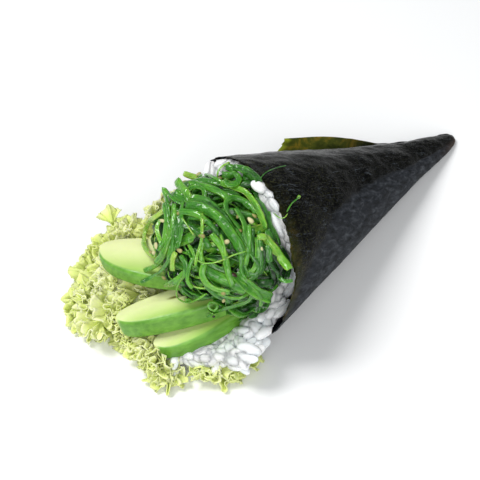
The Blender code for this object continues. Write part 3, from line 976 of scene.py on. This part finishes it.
# Each size of ruffle: its wavelength, how far it swings out of the leaf and along it, and how near the edge.
RUFFLES = ((0.0060, 0.0015, 0.0004, 1.0), (0.0028, 0.00072, 0.0002, 1.7), (0.0013, 0.00016, 0.0, 2.5))
# A lobe is left out if more of its points than this hide the filling, above this place on the face.
MOST_HIDING, LOWEST_FILLING = 3, -0.0400


def leaf_reach(angle):
    """How far the leaf's edge is from its hub in this direction."""
    reach = 0.0236 + 0.0170 * smoothstep((163 - angle) / 28)
    reach -= 0.0100 * smoothstep((89 - angle) / 10)
    return reach + sum(out * bell(angle, centre, width) for centre, width, out in LEAF_TIPS)


def leaf_rise(angle):
    return float(np.interp(angle, *zip(*LEAF_RISE))) * MM


def outwards(angle):
    return Vector((math.cos(angle), math.sin(angle), 0))


def unit_length(vectors, least):
    return vectors / np.maximum(np.linalg.norm(vectors, axis=2, keepdims=True), least)


def ruffled(grid, line, share, seed, amount=1.0):
    """Folds a leaf's grid of points into ruffles on ruffles, each square to the surface so far."""
    for number, (wave, swing, sway, near_edge) in enumerate(RUFFLES):
        along = unit_length(np.gradient(grid, axis=0), 1e-9)
        normals = unit_length(np.cross(along, np.gradient(grid, axis=1)), 1e-9)
        drift, size = np.zeros(grid.shape[:2]), np.zeros(grid.shape[:2])
        for i, j in np.ndindex(drift.shape):
            spot = (line[i], share[j] * 0.006, seed * 0.1)
            drift[i, j] = swirl(spot, wave * 1.3, seed + number)
            size[i, j] = swirl(spot, wave * 2.0, seed + number + 20)
        phase = math.tau * line[:, None] / wave + 3.0 * drift
        strength = amount * (1.1 + 0.45 * size) * share[None, :] ** near_edge
        grid = grid + normals * (swing * strength * np.sin(phase))[:, :, None]
        grid = grid + along * (sway * strength * np.sin(2 * phase))[:, :, None]
    return grid


def blade(pile, start, stop, base, edge, low, high, amount, paleness, seed, rows=20):
    """A fan of the leaf round its hub, ruffled towards its edge."""
    share = np.linspace(0, 1, rows + 1)
    columns = int((stop - start) * 1.9)
    grid = np.zeros((columns + 1, rows + 1, 3))
    line = np.zeros(columns + 1)
    for i in range(columns + 1):
        angle = start + (stop - start) * i / columns
        reach, rise = leaf_reach(angle), leaf_rise(angle)
        line[i] = line[i - 1] + math.radians((stop - start) / columns) * reach * edge if i else 0.0
        here = (line[i], 0, seed)
        ragged = 0.12 * swirl((line[i], seed, 0), 0.0060, seed) + 0.06 * swirl(here, 0.0016, seed)
        wide = swirl(here, 0.014, seed)
        for j in range(rows + 1):
            out = reach * (base + (edge - base + ragged) * share[j])
            height = rise * (low + (high - low) * share[j] ** 1.3) * (1 + 0.35 * wide * share[j]) + 0.0018
            grid[i, j] = HUB + UP * height + outwards(math.radians(angle)) * out
    grid = ruffled(grid, line, share, seed, amount)
    grid[:, :, 2] = np.maximum(grid[:, :, 2], 0.0004 + 0.0006 * share[None, :])
    rib = np.maximum(paleness, 0.9 * np.clip((0.30 - share) / 0.25, 0, 1))
    pile.add_sheet(grid, BLADE_GAUGE, frill=share * 0.8, rib=rib, tone=0.3)


def lobe(at, heading, up, length, rng, columns=46, rows=11):
    """The points of one small fan of the frill, ruffled to its edge, and their shares of the way out."""
    share = np.linspace(0, 1, rows + 1)
    spread = rng.uniform(0.75, 1.15)
    side = heading.cross(up)
    curl = rng.normal(0.15, 0.25) * length
    seed = rng.uniform(0, 90)
    turns = np.linspace(-spread, spread, columns + 1)
    line = turns * length * 1.15
    grid = np.zeros((columns + 1, rows + 1, 3))
    for i, turn in enumerate(turns):
        away = math.cos(turn) * heading + math.sin(turn) * side
        uneven = 0.26 * swirl((line[i], seed, 0), 0.0030, 1.0) + 0.10 * swirl((line[i], 0, seed), 0.0008, 2.0)
        for j in range(rows + 1):
            out = length * (1 + uneven) * (0.08 + 0.92 * share[j])
            grid[i, j] = at + away * out + up * (curl * share[j] ** 2)
    grid = ruffled(grid, line, share, seed)
    grid[:, :, 2] = np.maximum(grid[:, :, 2], 0.0004 + 0.0005 * share[None, :])
    return grid, share


def lobes(rng):
    """Each lobe's points in turn, row by row."""
    for out, high, count, steep, length, start, stop in LOBE_ROWS:
        for k in range(count):
            angle = start + (stop - start) * (k + 0.5 + rng.uniform(-0.3, 0.3)) / count
            away = outwards(math.radians(angle + rng.normal(0, 14)))
            reach, rise = leaf_reach(angle), leaf_rise(angle)
            size = length * MM * rng.uniform(0.75, 1.35)
            lean = math.radians(steep + rng.normal(0, 14))
            heading = math.cos(lean) * away + math.sin(lean) * UP
            up = math.cos(lean) * UP - math.sin(lean) * away
            far = reach * (out + rng.normal(0, 0.04)) - math.cos(lean) * size * 0.6
            tall = max(0.0015, rise * (high + rng.normal(0, 0.08)) - math.sin(lean) * size * 0.5)
            at = HUB + outwards(math.radians(angle)) * far + UP * tall
            yield lobe(at, heading, up, size, rng)


def build_leaf():
    rng = np.random.default_rng(8)
    finish = leaf_finish()
    blades = Pile()
    for row in BLADES:
        blade(blades, *row)
    blades.piece("leaf_blades", finish, "lettuce", "lettuce")
    filling = tree_of(*(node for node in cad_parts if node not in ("lettuce", "nori")))

    def hides_filling(point):
        above = (point - FACE_CENTRE).dot(UPHILL) > LOWEST_FILLING
        return above and filling.ray_cast(point, -FRONT, 0.06)[0] is not None

    piles = Pile(), Pile()
    placed = 0
    for grid, share in lobes(rng):
        some = grid[::4, ::3].reshape(-1, 3).tolist()
        if sum(hides_filling(Vector(point)) for point in some) <= MOST_HIDING:
            piles[placed % 2].add_sheet(grid, LOBE_GAUGE, frill=share, rib=0.0, tone=rng.random())
            placed += 1
    for number, pile in enumerate(piles):
        pile.piece(f"leaf_frills_{number + 1}", finish, "lettuce", "lettuce")


# ---- seaweed salad

# The ribbons that lie on top, each laid one by one: its width, its tone from deep green at 0 to lime at 1, how
# far it lies off what is under it, how far it is turned on its edge, and its route on the face.
TOP_RIBBONS = (
    (2.3, 0.70, 1.6, 12, (0, 18.6), (4, 17.2), (7.5, 15.6), (10, 12.8), (12, 9), (13.2, 6), (13.6, 4.2)),
    (3.4, 0.50, 1.2, -15, (-10.5, 11.3), (-7, 11), (-3.5, 9.6), (0, 7), (3, 3.2), (5.5, -0.5), (7, -4)),
    (1.8, 0.48, 1.2, 25, (11, 8.5), (9.5, 11.2), (6.5, 13.2), (3.8, 13.7), (2.0, 12.4), (2.2, 10), (4, 7),
     (6.5, 4)),
    (1.5, 0.52, 1.8, 30, (-15.8, 8), (-16.4, 11.5), (-17.4, 15), (-17.9, 17), (-16.2, 15.4), (-13.5, 12.8),
     (-11, 12)),
    (1.7, 0.95, 0.8, 20, (-16, 11.5), (-19.5, 8.6), (-23, 6.4), (-24.8, 3), (-24.6, -0.5), (-22.6, -3.2),
     (-20.3, -4.6)),
    (3.2, 0.64, 1.0, -20, (-13.8, 19.6), (-12.4, 17.4), (-10.8, 15.4), (-9.4, 13.2)),
    (2.0, 0.97, 1.0, 5, (-12.2, 22.4), (-10, 21.6), (-7.2, 20.9)),
    (1.5, 0.55, 1.2, 15, (-9.6, 12.6), (-10.4, 15), (-9, 17), (-6.8, 17.2), (-5, 15.8), (-5.2, 13.8),
     (-7, 13.2)),
    (1.9, 0.60, 1.2, 15, (-15.6, 6), (-15.4, 2), (-16.6, -2), (-18.6, -5.4), (-21.4, -7.6), (-24.2, -8.8)),
    (1.4, 0.45, 0.8, -20, (-14.6, 4), (-15, -3), (-17.4, -7.6), (-21, -10.4), (-25.2, -12.6)),
    (1.3, 0.74, 1.0, 10, (-18.6, 7.2), (-19.6, 4.6), (-19, 2), (-18, -1), (-17.8, -4)),
    (2.2, 0.42, 0.6, 10, (-13.8, 10.5), (-13.2, 6), (-13.4, 2), (-14.6, -2), (-15.6, -6)),
    (2.4, 0.92, 1.2, -25, (-13.6, -2.8), (-14.6, -5), (-14.8, -8.6)),
    (0.6, 0.66, 0.7, 0, (-10.6, -8.4), (-12.4, -12), (-13.6, -15), (-13.2, -17.6), (-10.8, -18.8),
     (-8, -18), (-4, -15.6)),
    (0.9, 0.76, 1.8, 0, (-5.4, 9), (-5.4, 4.4), (-5.6, 0.4), (-6.8, -3.6), (-7.4, -7)),
    (1.6, 0.66, 1.2, 0, (-5.2, 1), (-5.8, -3), (-5.2, -6), (-4.4, -8.6)),
    (0.5, 0.84, 2.2, 0, (8, -2.6), (4, -3.8), (1, -5.2), (-2, -6.1), (-5, -6.2), (-7, -5.2)),
    (2.1, 0.62, 1.8, 10, (-2.6, 2.6), (0, -0.6), (1.4, -3.4), (2, -6.4), (2.8, -10), (4, -13)),
    (1.0, 0.72, 2.2, -30, (0.2, 2.4), (1.2, -0.8), (1.7, -4)),
    (3.6, 0.56, 1.4, 8, (4.6, -9.6), (7.6, -12.4), (11.4, -15.2), (15.8, -17.2)),
    (3.0, 0.80, 1.6, -12, (13.6, 1.6), (16.4, -1.8), (18.8, -5), (21.4, -8)),
    (1.2, 0.48, 0.8, 10, (17.4, -7.4), (17.9, -10.2), (19.6, -11.7), (22.2, -11.6)),
    (3.7, 0.52, 1.0, -10, (-5.8, -7.4), (-3, -9.2), (0.6, -11), (4.6, -12.6), (8, -14.4)),
    (2.0, 0.40, 0.6, 20, (-5, -8.6), (-4.2, -12.6), (-1.2, -15.8), (3.2, -18)),
    (1.3, 0.50, 1.0, 10, (6, -11), (8.8, -13.4), (9.7, -15.6), (8.4, -18), (4, -19.6), (-0.4, -21.2),
     (-4.4, -23.4)),
    (0.7, 0.60, 0.9, 0, (-1.4, -18.6), (-3.2, -18.4), (-3.6, -20), (-2, -21), (-0.8, -19.8), (-1.6, -18.8)),
    (1.4, 0.40, 1.2, 20, (5, 4.4), (7.6, 0.4), (9.6, -3.6), (11.8, -7), (10.8, -9.8), (8.8, -9.2),
     (9.2, -7.6)),
    (1.6, 0.44, 1.0, -15, (7.4, 3.4), (6.8, -1.6), (7, -6.4), (8.6, -10.4)),
    (1.5, 0.36, 1.0, 10, (10, 4.4), (10, -0.8), (10.4, -5.8)),
    (1.8, 0.42, 1.2, 15, (12, 3.6), (12.6, -2.4), (12.6, -7), (11.2, -10)),
    (2.3, 0.86, 1.8, 0, (11.4, 1.5), (12.8, 1.9), (14.2, 1.5)),
    (2.5, 0.46, 1.2, -10, (14.4, 4), (15.4, 0.6), (14.6, -3), (15.2, -6)),
    (0.7, 0.88, 1.0, 0, (-1, 20.6), (-0.8, 22.4), (0.6, 24.2), (2.8, 25.4)),
    (1.2, 0.46, 1.0, 30, (0.4, 22.4), (2.6, 20.8), (5, 21.4), (7.4, 20.2), (8.4, 18)),
    (1.5, 0.50, 0.8, -25, (1, 19.6), (3.6, 18.4), (6.4, 19.6), (8.8, 21), (10.6, 19.4)),
    (2.1, 0.48, 0.8, 10, (-10.4, 17.8), (-7, 19.5), (-3, 19.2), (0.6, 18.2)),
    (1.3, 0.58, 1.2, -20, (-7.4, 21.2), (-4.2, 21.4), (-1, 19.8), (2.2, 17.8)),
    (2.2, 0.38, 0.8, 12, (-4.4, 15.2), (0, 15.7), (4, 14.8), (7, 13), (9.8, 10.4)),
    (1.8, 0.48, 0.8, 10, (-12, -3.8), (-10.4, -6.8), (-10.8, -10.4)),
    (2.4, 0.58, 0.6, 8, (-10.6, -9), (-13.8, -12), (-17.2, -13.6)),
    (0.4, 0.66, 0.6, 0, (-16.2, -8.6), (-15.8, -10.6), (-14.4, -11.8)),
    (0.5, 0.90, 1.6, 0, (-11.6, 7.6), (-9.8, 5), (-8.6, 3.2), (-7.8, 2.2)),
    (2.0, 0.36, 0.8, 12, (-11.6, 5.6), (-8.4, 4.6), (-5.4, 2), (-3, -1.6)),
    (1.7, 0.42, 0.8, -14, (-9.6, 7.6), (-5.6, 7.6), (-2.4, 5), (-0.4, 1.8)),
    (1.4, 0.44, 1.0, 20, (15.2, 9.6), (15.8, 5.6), (17.6, 2.2), (18.4, -0.8)),
    (1.2, 0.40, 0.6, 0, (12.6, 15.2), (14.2, 12), (15, 8.6)),
    (2.4, 0.42, 1.9, 15, (1.6, 23.8), (3.5, 23.4), (5.5, 22.4), (6.6, 20.6), (6, 18.6)),
    (2.6, 0.50, 2.4, -10, (0.5, 21.4), (2.5, 21), (4.6, 21.2), (5.6, 19.6), (4.4, 18.2), (2.6, 18),
     (1.6, 19.2)),
    (2.4, 0.38, 1.6, 10, (4, 23.6), (6.5, 23), (9, 21.4), (10.6, 19.4), (11, 17.2)),
    (3.0, 0.32, 1.4, 0, (5, 17.4), (7.5, 18), (10, 18.2), (12, 16.8)),
    (2.2, 0.46, 2.2, -15, (7, 20.6), (9, 20.2), (11, 18.8), (12.2, 16.6)),
    (2.6, 0.25, 1.0, 10, (9.5, 17.6), (11.2, 15.4), (12.4, 12.6)),
    (2.4, 0.30, 1.5, 12, (6.4, 22.6), (9, 22.2), (11, 20.4), (12.2, 18.4)),
    (2.0, 0.30, 1.0, 0, (10.8, 16.4), (12.4, 12.4), (14.2, 8), (15.6, 3.6), (16.6, 0)),
    (3.0, 0.46, 0.7, 12, (-14.4, 15.6), (-11, 13.8), (-7.6, 13.6), (-4.6, 12.8), (-2, 11)),
    (2.4, 0.55, 1.5, 0, (-9.6, 19.2), (-6.4, 17.8), (-2.8, 16.8), (0.8, 15), (3.6, 12.4)),
    (2.2, 0.60, 1.6, -18, (-12.6, 9.6), (-9.8, 9.4), (-6.6, 8.4), (-4, 6.2)),
    (2.6, 0.34, 0.4, 10, (-3.6, 12.4), (-0.6, 9.8), (2.2, 6.4), (4.4, 2.6)),
    (1.8, 0.52, 1.2, 22, (4.8, 10.6), (6.4, 8.2), (7.6, 5), (8, 1.2), (8.4, -2.6)),
    (1.6, 0.56, 1.5, -10, (8.8, 5.4), (8.8, 1.4), (8.6, -2.6), (7.8, -6.8)),
    (1.5, 0.60, 1.3, 14, (11, 1.6), (11.4, -2), (11.2, -5.6), (9.8, -8.6), (7.6, -9.8)),
    (1.2, 0.50, 1.6, 0, (5.8, -1.6), (6.4, -5), (6.6, -8.6), (8, -11.4)),
    (1.9, 0.28, 0.4, 0, (13.2, -1), (13.6, -4.4), (12.4, -8.6), (9.8, -11)),
    (2.2, 0.55, 1.1, -14, (-17.4, 12.4), (-16.6, 8), (-16.8, 4), (-17.6, 0.6), (-19.4, -2.4)),
    (1.8, 0.62, 1.6, 12, (-14.4, 12), (-14.2, 8.4), (-14.6, 4.6), (-15.8, 1.2), (-17.6, -3.4), (-20.4, -6.2)),
    (1.6, 0.50, 1.2, -12, (-11.6, 12.8), (-12, 9), (-11.6, 5.6), (-12.2, 1.6), (-13, -1.8)),
    (2.6, 0.44, 0.5, 8, (-3.6, -6.6), (-0.6, -8.4), (3, -9.6), (6.6, -11.6)),
    (2.2, 0.66, 1.9, -16, (-4.6, -6.2), (-5.4, -9.6), (-3.8, -12.6), (-0.8, -14.4), (3, -15.2)),
    (1.4, 0.56, 1.4, 0, (8, -12.2), (10.8, -14.6), (12.6, -17.2), (12.4, -19.6)),
    (3.2, 0.30, 0.2, 0, (11.6, -12.6), (14, -12.4), (16.2, -12.8)),
    (1.4, 0.60, 1.0, 8, (-8, -4.4), (-9.4, -8), (-10, -11.4), (-8.4, -14)),
    (1.2, 0.64, 1.6, 0, (-0.6, -15.4), (2.6, -16.8), (6, -17), (9, -15.4)),
    (1.2, 0.30, 0.6, 0, (-9, 4), (-6, 3.4), (-3.4, 4.4), (-0.4, 4.2)),
    (1.0, 0.64, 1.7, 20, (-9.6, -0.6), (-8.2, -2.8), (-7.4, -5.6)),
    # The last four ribbons fill the hollow by the mouth with near-black tones: painted shade of the hollow.
    (2.8, 0.10, 0.8, 10, (15.4, -2.6), (17.4, -4.6), (18.8, -7.2), (19.2, -10), (18.2, -12.6)),
    (2.6, 0.16, 0.6, -15, (17.6, -1.6), (19.6, -3.8), (20.6, -6.6), (20.6, -9.6), (19.6, -12)),
    (3.0, 0.02, 0.4, 5, (15.2, -6), (16.4, -8.6), (16.8, -11.4), (15.6, -14)),
    (1.6, 0.22, 1.2, 20, (14.4, -4.4), (16, -7), (17.6, -9), (18.2, -11.4)),
)
# Threads that have strayed onto the nori and the rice, in the same way.
STRAYS = (
    (0.35, 0.30, 0.4, 0, (10, 15.5), (11.5, 17.6), (12.6, 20), (14.6, 22), (18, 23.5), (20.6, 24.2)),
    (0.45, 0.50, 0.5, 0, (20.4, 9.4), (22, 12), (24.4, 14)),
    (1.1, 0.85, 0.7, 0, (24.0, 13.7), (24.7, 14.6)),
    (0.3, 0.80, 0.5, 0, (16.4, 9.2), (18, 7.6), (19.6, 7.6), (20.6, 8.8)),
)
# How many ribbons and threads are scattered over the heap, how many more over its far side, and their step.
SCATTERED, ON_FAR_SIDE = 340, 120
WALK_STEP = 0.0011
# A ribbon's cross-section, point by point round it: how far across, and how far off its middle.
ACROSS = np.array([-1, -0.78, -0.4, 0, 0.4, 0.78, 1, 0.78, 0.4, 0, -0.4, -0.78])
LIFT = np.array([0, 0.42, 0.5, 0.5, 0.5, 0.42, 0, -0.42, -0.5, -0.5, -0.5, -0.42])


def unit_rows(vectors):
    return vectors / np.linalg.norm(vectors, axis=1, keepdims=True)


def add_ribbon(pile, path, ups, width, gauge, cup, twist, seed, tone, step, ends=0.35, crimp=0.35):
    """Adds a flat strip along a path of points this far apart, cupped and crimped across its width."""
    along = unit_rows(np.gradient(path, axis=0))
    ups = unit_rows(ups - (ups * along).sum(1, keepdims=True) * along)
    sides = np.cross(along, ups)
    share = np.linspace(0, 1, len(path))
    taper = 1 - (1 - ends) * np.maximum(np.exp(-share / 0.04), np.exp(-(1 - share) / 0.04))
    rings = []
    for k in range(len(path)):
        cosine, sine = math.cos(twist[k]), math.sin(twist[k])
        side = cosine * sides[k] + sine * ups[k]
        up = -sine * sides[k] + cosine * ups[k]
        half = width / 2 * taper[k] * (1 + 0.14 * swirl((k, seed, 0), 4.0, 1.0))
        left, right = (swirl((k, seed, edge_seed), 2.6, 2.0) for edge_seed in (11.0, 23.0))
        folds = ACROSS**2 * np.where(ACROSS < 0, left, right) + 0.4 * ACROSS * (left - right)
        off = LIFT * gauge * (0.4 + 0.6 * taper[k]) + half * (cup * (ACROSS**2 - 0.5) + crimp * folds)
        rings.append(path[k] + (ACROSS * half)[:, None] * side + off[:, None] * up)
    points = np.concatenate(rings)
    points[:, 2] = np.maximum(points[:, 2], 0.0006)
    edge = np.tile(ACROSS, len(path))
    pile.add(
        points,
        tube_faces(len(path), len(ACROSS)),
        tone=tone,
        edge=edge,
        across=edge * width / MM * 0.6 + seed,
        along=np.repeat(share, len(ACROSS)) * len(path) * step,
    )


def smooth_walk(rng, count, size, knots):
    """Smooth random values along a path."""
    given = rng.normal(0, size, knots)
    return np.interp(np.linspace(0, knots - 1, count), np.arange(knots), given)


def part_way(share, values):
    return float(np.interp(share, np.linspace(0, 1, len(values)), values))


def walk_on(tree, start, heading, length, bends, heights):
    """A path that creeps over a surface, turning as it goes, at these heights above it."""
    count = max(6, int(length / WALK_STEP))
    at, normal = tree.find_nearest(start)[:2]
    heading = (heading - heading.dot(normal) * normal).normalized()
    path, ups = [], []
    for k in range(count):
        share = k / (count - 1)
        path.append(at + normal * part_way(share, heights))
        ups.append(normal)
        heading = Matrix.Rotation(part_way(share, bends) * WALK_STEP, 3, normal) @ heading
        at, found = tree.find_nearest(at + heading * WALK_STEP)[:2]
        normal = (normal * 0.75 + found * 0.25).normalized()
        heading = (heading - heading.dot(normal) * normal).normalized()
    return blurred(np.array(path), 5), blurred(np.array(ups), 5)


def in_heap(point, normal):
    """Where ribbons are scattered: outside the nori, and neither in the hollow nor low on the near side."""
    offset = point - FACE_CENTRE
    x, y = offset.dot(RIGHTWARD) / MM, offset.dot(UPHILL) / MM
    hollow = bell(x, 15, 5) * bell(y, -9, 6) > 0.3
    cut_off = x < -4 and y < -14
    return exposed(point, 0.0005) and normal.z > -0.6 and not hollow and not cut_off


def scatter_ribbons(ribbons, threads, rng):
    """Lays ribbons and, every fifth time, a thread over the heap, then more of them over its far side."""
    tree = tree_of("seaweed_salad")
    spots = spots_on("seaweed_salad", 4000, rng, 0.0021, in_heap)
    rng.shuffle(spots)
    far_side = [spot for spot in spots[SCATTERED:] if spot[1].dot(RIGHTWARD) < -0.3][:ON_FAR_SIDE]
    for number, (point, normal) in enumerate(spots[:SCATTERED] + far_side):
        thread = number % 5 == 0
        length = rng.uniform(0.014, 0.034)
        heading = Vector(rng.normal(0, 1, 3)) + Vector((0.9, -0.9, -0.6))
        bends = rng.normal(0, 65 if thread else 45, 5) + rng.normal(0, 35)
        depths = (-0.0042, -0.0003) if number < SCATTERED else (-0.0020, 0.0004)
        heights = rng.uniform(*depths) + rng.normal(0, 0.0009, 6)
        heights[[0, -1]] -= 0.0015
        path, ups = walk_on(tree, point, heading, length, bends, heights)
        if thread:
            width, gauge, cup = rng.uniform(0.0004, 0.0009), rng.uniform(0.0003, 0.0006), 0.0
        else:
            width = min(rng.gamma(6.0, 0.00034) + 0.0004, 0.0038)
            gauge, cup = rng.uniform(0.0003, 0.0005), rng.uniform(-0.7, 0.7)
        twist = smooth_walk(rng, len(path), 0.6, 5) + rng.normal(0, 0.5)
        tone = np.clip(rng.normal(0.42, 0.20) + (0.12 if thread else 0), 0.10, 0.85)
        seed = rng.uniform(0, 50)
        pile, crimp = (threads, 0.0) if thread else (ribbons, 0.35)
        add_ribbon(pile, path, ups, width, gauge, cup, twist, seed, tone, WALK_STEP, crimp=crimp)


def lay_ribbons(pile, tree, ribbons, rng):
    """Lays the ribbons of a table on what is under them."""
    for width, tone, lift, edge, *knots in ribbons:
        path, ups = laid_on(tree, knots, lift)
        twist = np.radians(edge) + smooth_walk(rng, len(path), 0.18, 4)
        gauge = max(0.3, 0.15 * width) * MM
        cup = rng.uniform(0.15, 0.55) * rng.choice((-1, -1, 1))
        seed, step = rng.uniform(0, 50), ROUTE_STEP * MM
        add_ribbon(pile, path, ups, width * MM, gauge, cup, twist, seed, tone + 0.04, step, ends=0.75)


def build_salad(everything):
    rng = np.random.default_rng(5)
    finish = seaweed_finish()
    ribbons, threads, top, strays = Pile(), Pile(), Pile(), Pile()
    scatter_ribbons(ribbons, threads, rng)
    lay_ribbons(top, everything, TOP_RIBBONS, rng)
    lay_ribbons(strays, everything, STRAYS, rng)
    ribbons.piece("seaweed_ribbons", finish, "seaweed_salad", "seaweed_salad")
    top.piece("seaweed_top_ribbons", finish, "seaweed_salad")
    threads.piece("seaweed_threads", finish, "seaweed_salad", "seaweed_salad")
    strays.piece("stray_threads", finish, "seaweed_salad")
    heap_core("salad_core", "seaweed_salad", 0.0030, 0.0010, salad_core_painted_shade_finish(), "seaweed_salad", 0.0007)


# ---- seeds and dark bits

# Sesame seeds laid one by one on the heap's face: place in mm, turn in degrees, size, and tone from tan at 0 to
# cream at 1.
SEEDS = (
    (-17.5, 6.8, 70, 0.8, 0.9),
    (-13.8, 8.5, 20, 0.9, 0.6),
    (-12.3, 9.0, 100, 0.9, 0.5),
    (-19.3, -1.0, 10, 1.0, 0.9),
    (-21.3, -3.0, 80, 0.8, 0.3),
    (-11.8, -2.4, 70, 0.9, 0.5),
    (-5.0, 2.0, 80, 1.0, 0.2),
    (2.4, 0.2, 110, 1.0, 0.8),
    (9.8, 6.8, 45, 1.1, 1.0),
    (6.2, 8.2, 150, 1.0, 0.2),
    (11.0, 8.2, 60, 0.8, 0.4),
    (6.4, 3.6, 90, 0.8, 0.2),
    (1.4, -14.8, 170, 1.1, 0.4),
    (1.6, -17.8, 20, 0.8, 0.6),
    (-17.0, -11.0, 60, 0.8, 0.2),
    (0.2, 19.8, 170, 1.1, 0.2),
    (6.2, 20.4, 60, 0.8, 0.4),
    (13.2, -1.9, 10, 0.6, 1.0),
    (-17.0, 15.3, 80, 0.6, 0.1),
    (-20.2, -3.2, 100, 0.9, 0.9),
    (-6.8, 22.0, 120, 0.9, 0.7),
)
# Dark bits laid in the same way: place, length and width in mm.
DARK_BITS = (
    (-5.6, 10.0, 1.0, 0.7),
    (4.6, -9.8, 2.2, 1.5),
    (-11.8, 7.8, 0.9, 0.5),
    (-7.3, 21.8, 0.8, 0.6),
    (-1.8, -23.4, 1.0, 0.8),
)
SEED_SIZE = np.array((0.0023, 0.0014, 0.0009))
# How far seeds and bits lie off what is under them, in mm.
SEED_LIFT, BIT_LIFT = 1.6, 1.5


def surface_at(tree, x, y, half, lift):
    """The place this far over what lies at x, y on the face, and the way that looks."""
    path, ups = laid_on(tree, ((x - half, y), (x + half, y)), lift)
    return path[0], Vector(ups[0]).normalized()


def open_above(point, normal):
    return exposed(point, 0.001) and normal.z > 0


def build_seeds(everything):
    """The listed seeds, and more of them scattered over the side of the heap that faces away."""
    rng = np.random.default_rng(21)
    unit, faces = ball()
    tapered = unit * SEED_SIZE / 2
    tapered[:, 1] *= 1 - 0.28 * unit[:, 0]
    tapered[:, 2] *= 1 - 0.20 * unit[:, 0]
    pile = Pile()

    def add_seed(centre, normal, turn, scale, tone):
        placed = tapered * scale @ turned_frame(normal, turn, rng.normal(0, 0.25)) + np.array(centre)
        pile.add(placed, faces, tone=tone)

    for x, y, turn, scale, tone in SEEDS:
        add_seed(*surface_at(everything, x, y, 0.5, SEED_LIFT), math.radians(turn), scale, tone)
    for point, normal in spots_on("seaweed_salad", 3000, rng, 0.0060, open_above):
        if (point - FACE_CENTRE).normalized().dot(FRONT) < -0.15:
            turn, scale = rng.uniform(0, math.tau), rng.normal(1, 0.1)
            add_seed(point + normal * 0.0012, normal, turn, scale, rng.random())
    pile.piece("sesame_seeds", seed_finish(), "seaweed_salad")


def build_dark_bits(everything):
    unit, faces = ball()
    pile = Pile()
    for number, (x, y, long, wide) in enumerate(DARK_BITS):
        place, normal = surface_at(everything, x, y, 0.4, BIT_LIFT)
        lumpy = unit * (1 + 0.25 * np.array([swirl(way, 0.7, number) for way in unit]))[:, None]
        shape = lumpy * np.array((long, wide, 0.7 * wide)) / 2 * MM
        pile.add(shape @ turned_frame(normal, 1.2 * number, 0.2) + place, faces)
    pile.piece("dark_bits", dark_finish(), "seaweed_salad")


# ---- the scene

TARGET = Vector((-0.021756, -0.002719, 0.020))
CAMERA_AWAY = 0.45
# The two soft panels: each one's place from the target, its side and its power.
LIGHTS = {"key": ((-0.25, 0.30, 0.75), 0.34, 5.6), "fill": ((-0.42, -0.52, 0.55), 0.60, 4.2)}


def set_stage():
    """A pale floor, two soft panels in a dim pale room, and the camera."""
    scene = bpy.context.scene
    bpy.ops.mesh.primitive_plane_add(size=4)
    floor = bpy.context.object
    floor.name = "floor"
    surface = Finish("floor", Roughness=0.6)
    surface.mottled(3, 2, (0.945, 0.95, 0.95), (0.96, 0.96, 0.96))
    floor.data.materials.append(surface.material)
    floor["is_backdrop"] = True
    scene.world = bpy.data.worlds.new("studio")
    scene.world.use_nodes = True
    background = scene.world.node_tree.nodes["Background"]
    background.inputs["Color"].default_value = (0.93, 0.97, 1.0, 1)
    background.inputs["Strength"].default_value = 0.28
    for name, (place, size, power) in LIGHTS.items():
        light = bpy.data.objects.new(name, bpy.data.lights.new(name, "AREA"))
        light.data.size = size
        light.data.energy = power
        light.location = TARGET + Vector(place)
        light.rotation_euler = (TARGET - light.location).to_track_quat("-Z", "Y").to_euler()
        scene.collection.objects.link(light)
    camera = bpy.data.objects.new("camera", bpy.data.cameras.new("camera"))
    scene.collection.objects.link(camera)
    camera.data.lens = 102.27
    camera.data.sensor_width = 36.0
    camera.rotation_euler = (VIEW_TILT, 0, VIEW_TURN)
    camera.location = TARGET + CAMERA_AWAY * (camera.rotation_euler.to_matrix() @ UP)
    scene.camera = camera
    scene.view_settings.view_transform = "Standard"


sheet = build_nori()
build_rice()
build_slices()
build_leaf()
everything = tree_of(*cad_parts, pieces=[sheet])
build_salad(everything)
build_seeds(everything)
build_dark_bits(everything)
set_stage()
for low_and_high in (cad_box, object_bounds()):
    str([[round(float(value), 5) for value in corner] for corner in low_and_high]) + "\n"
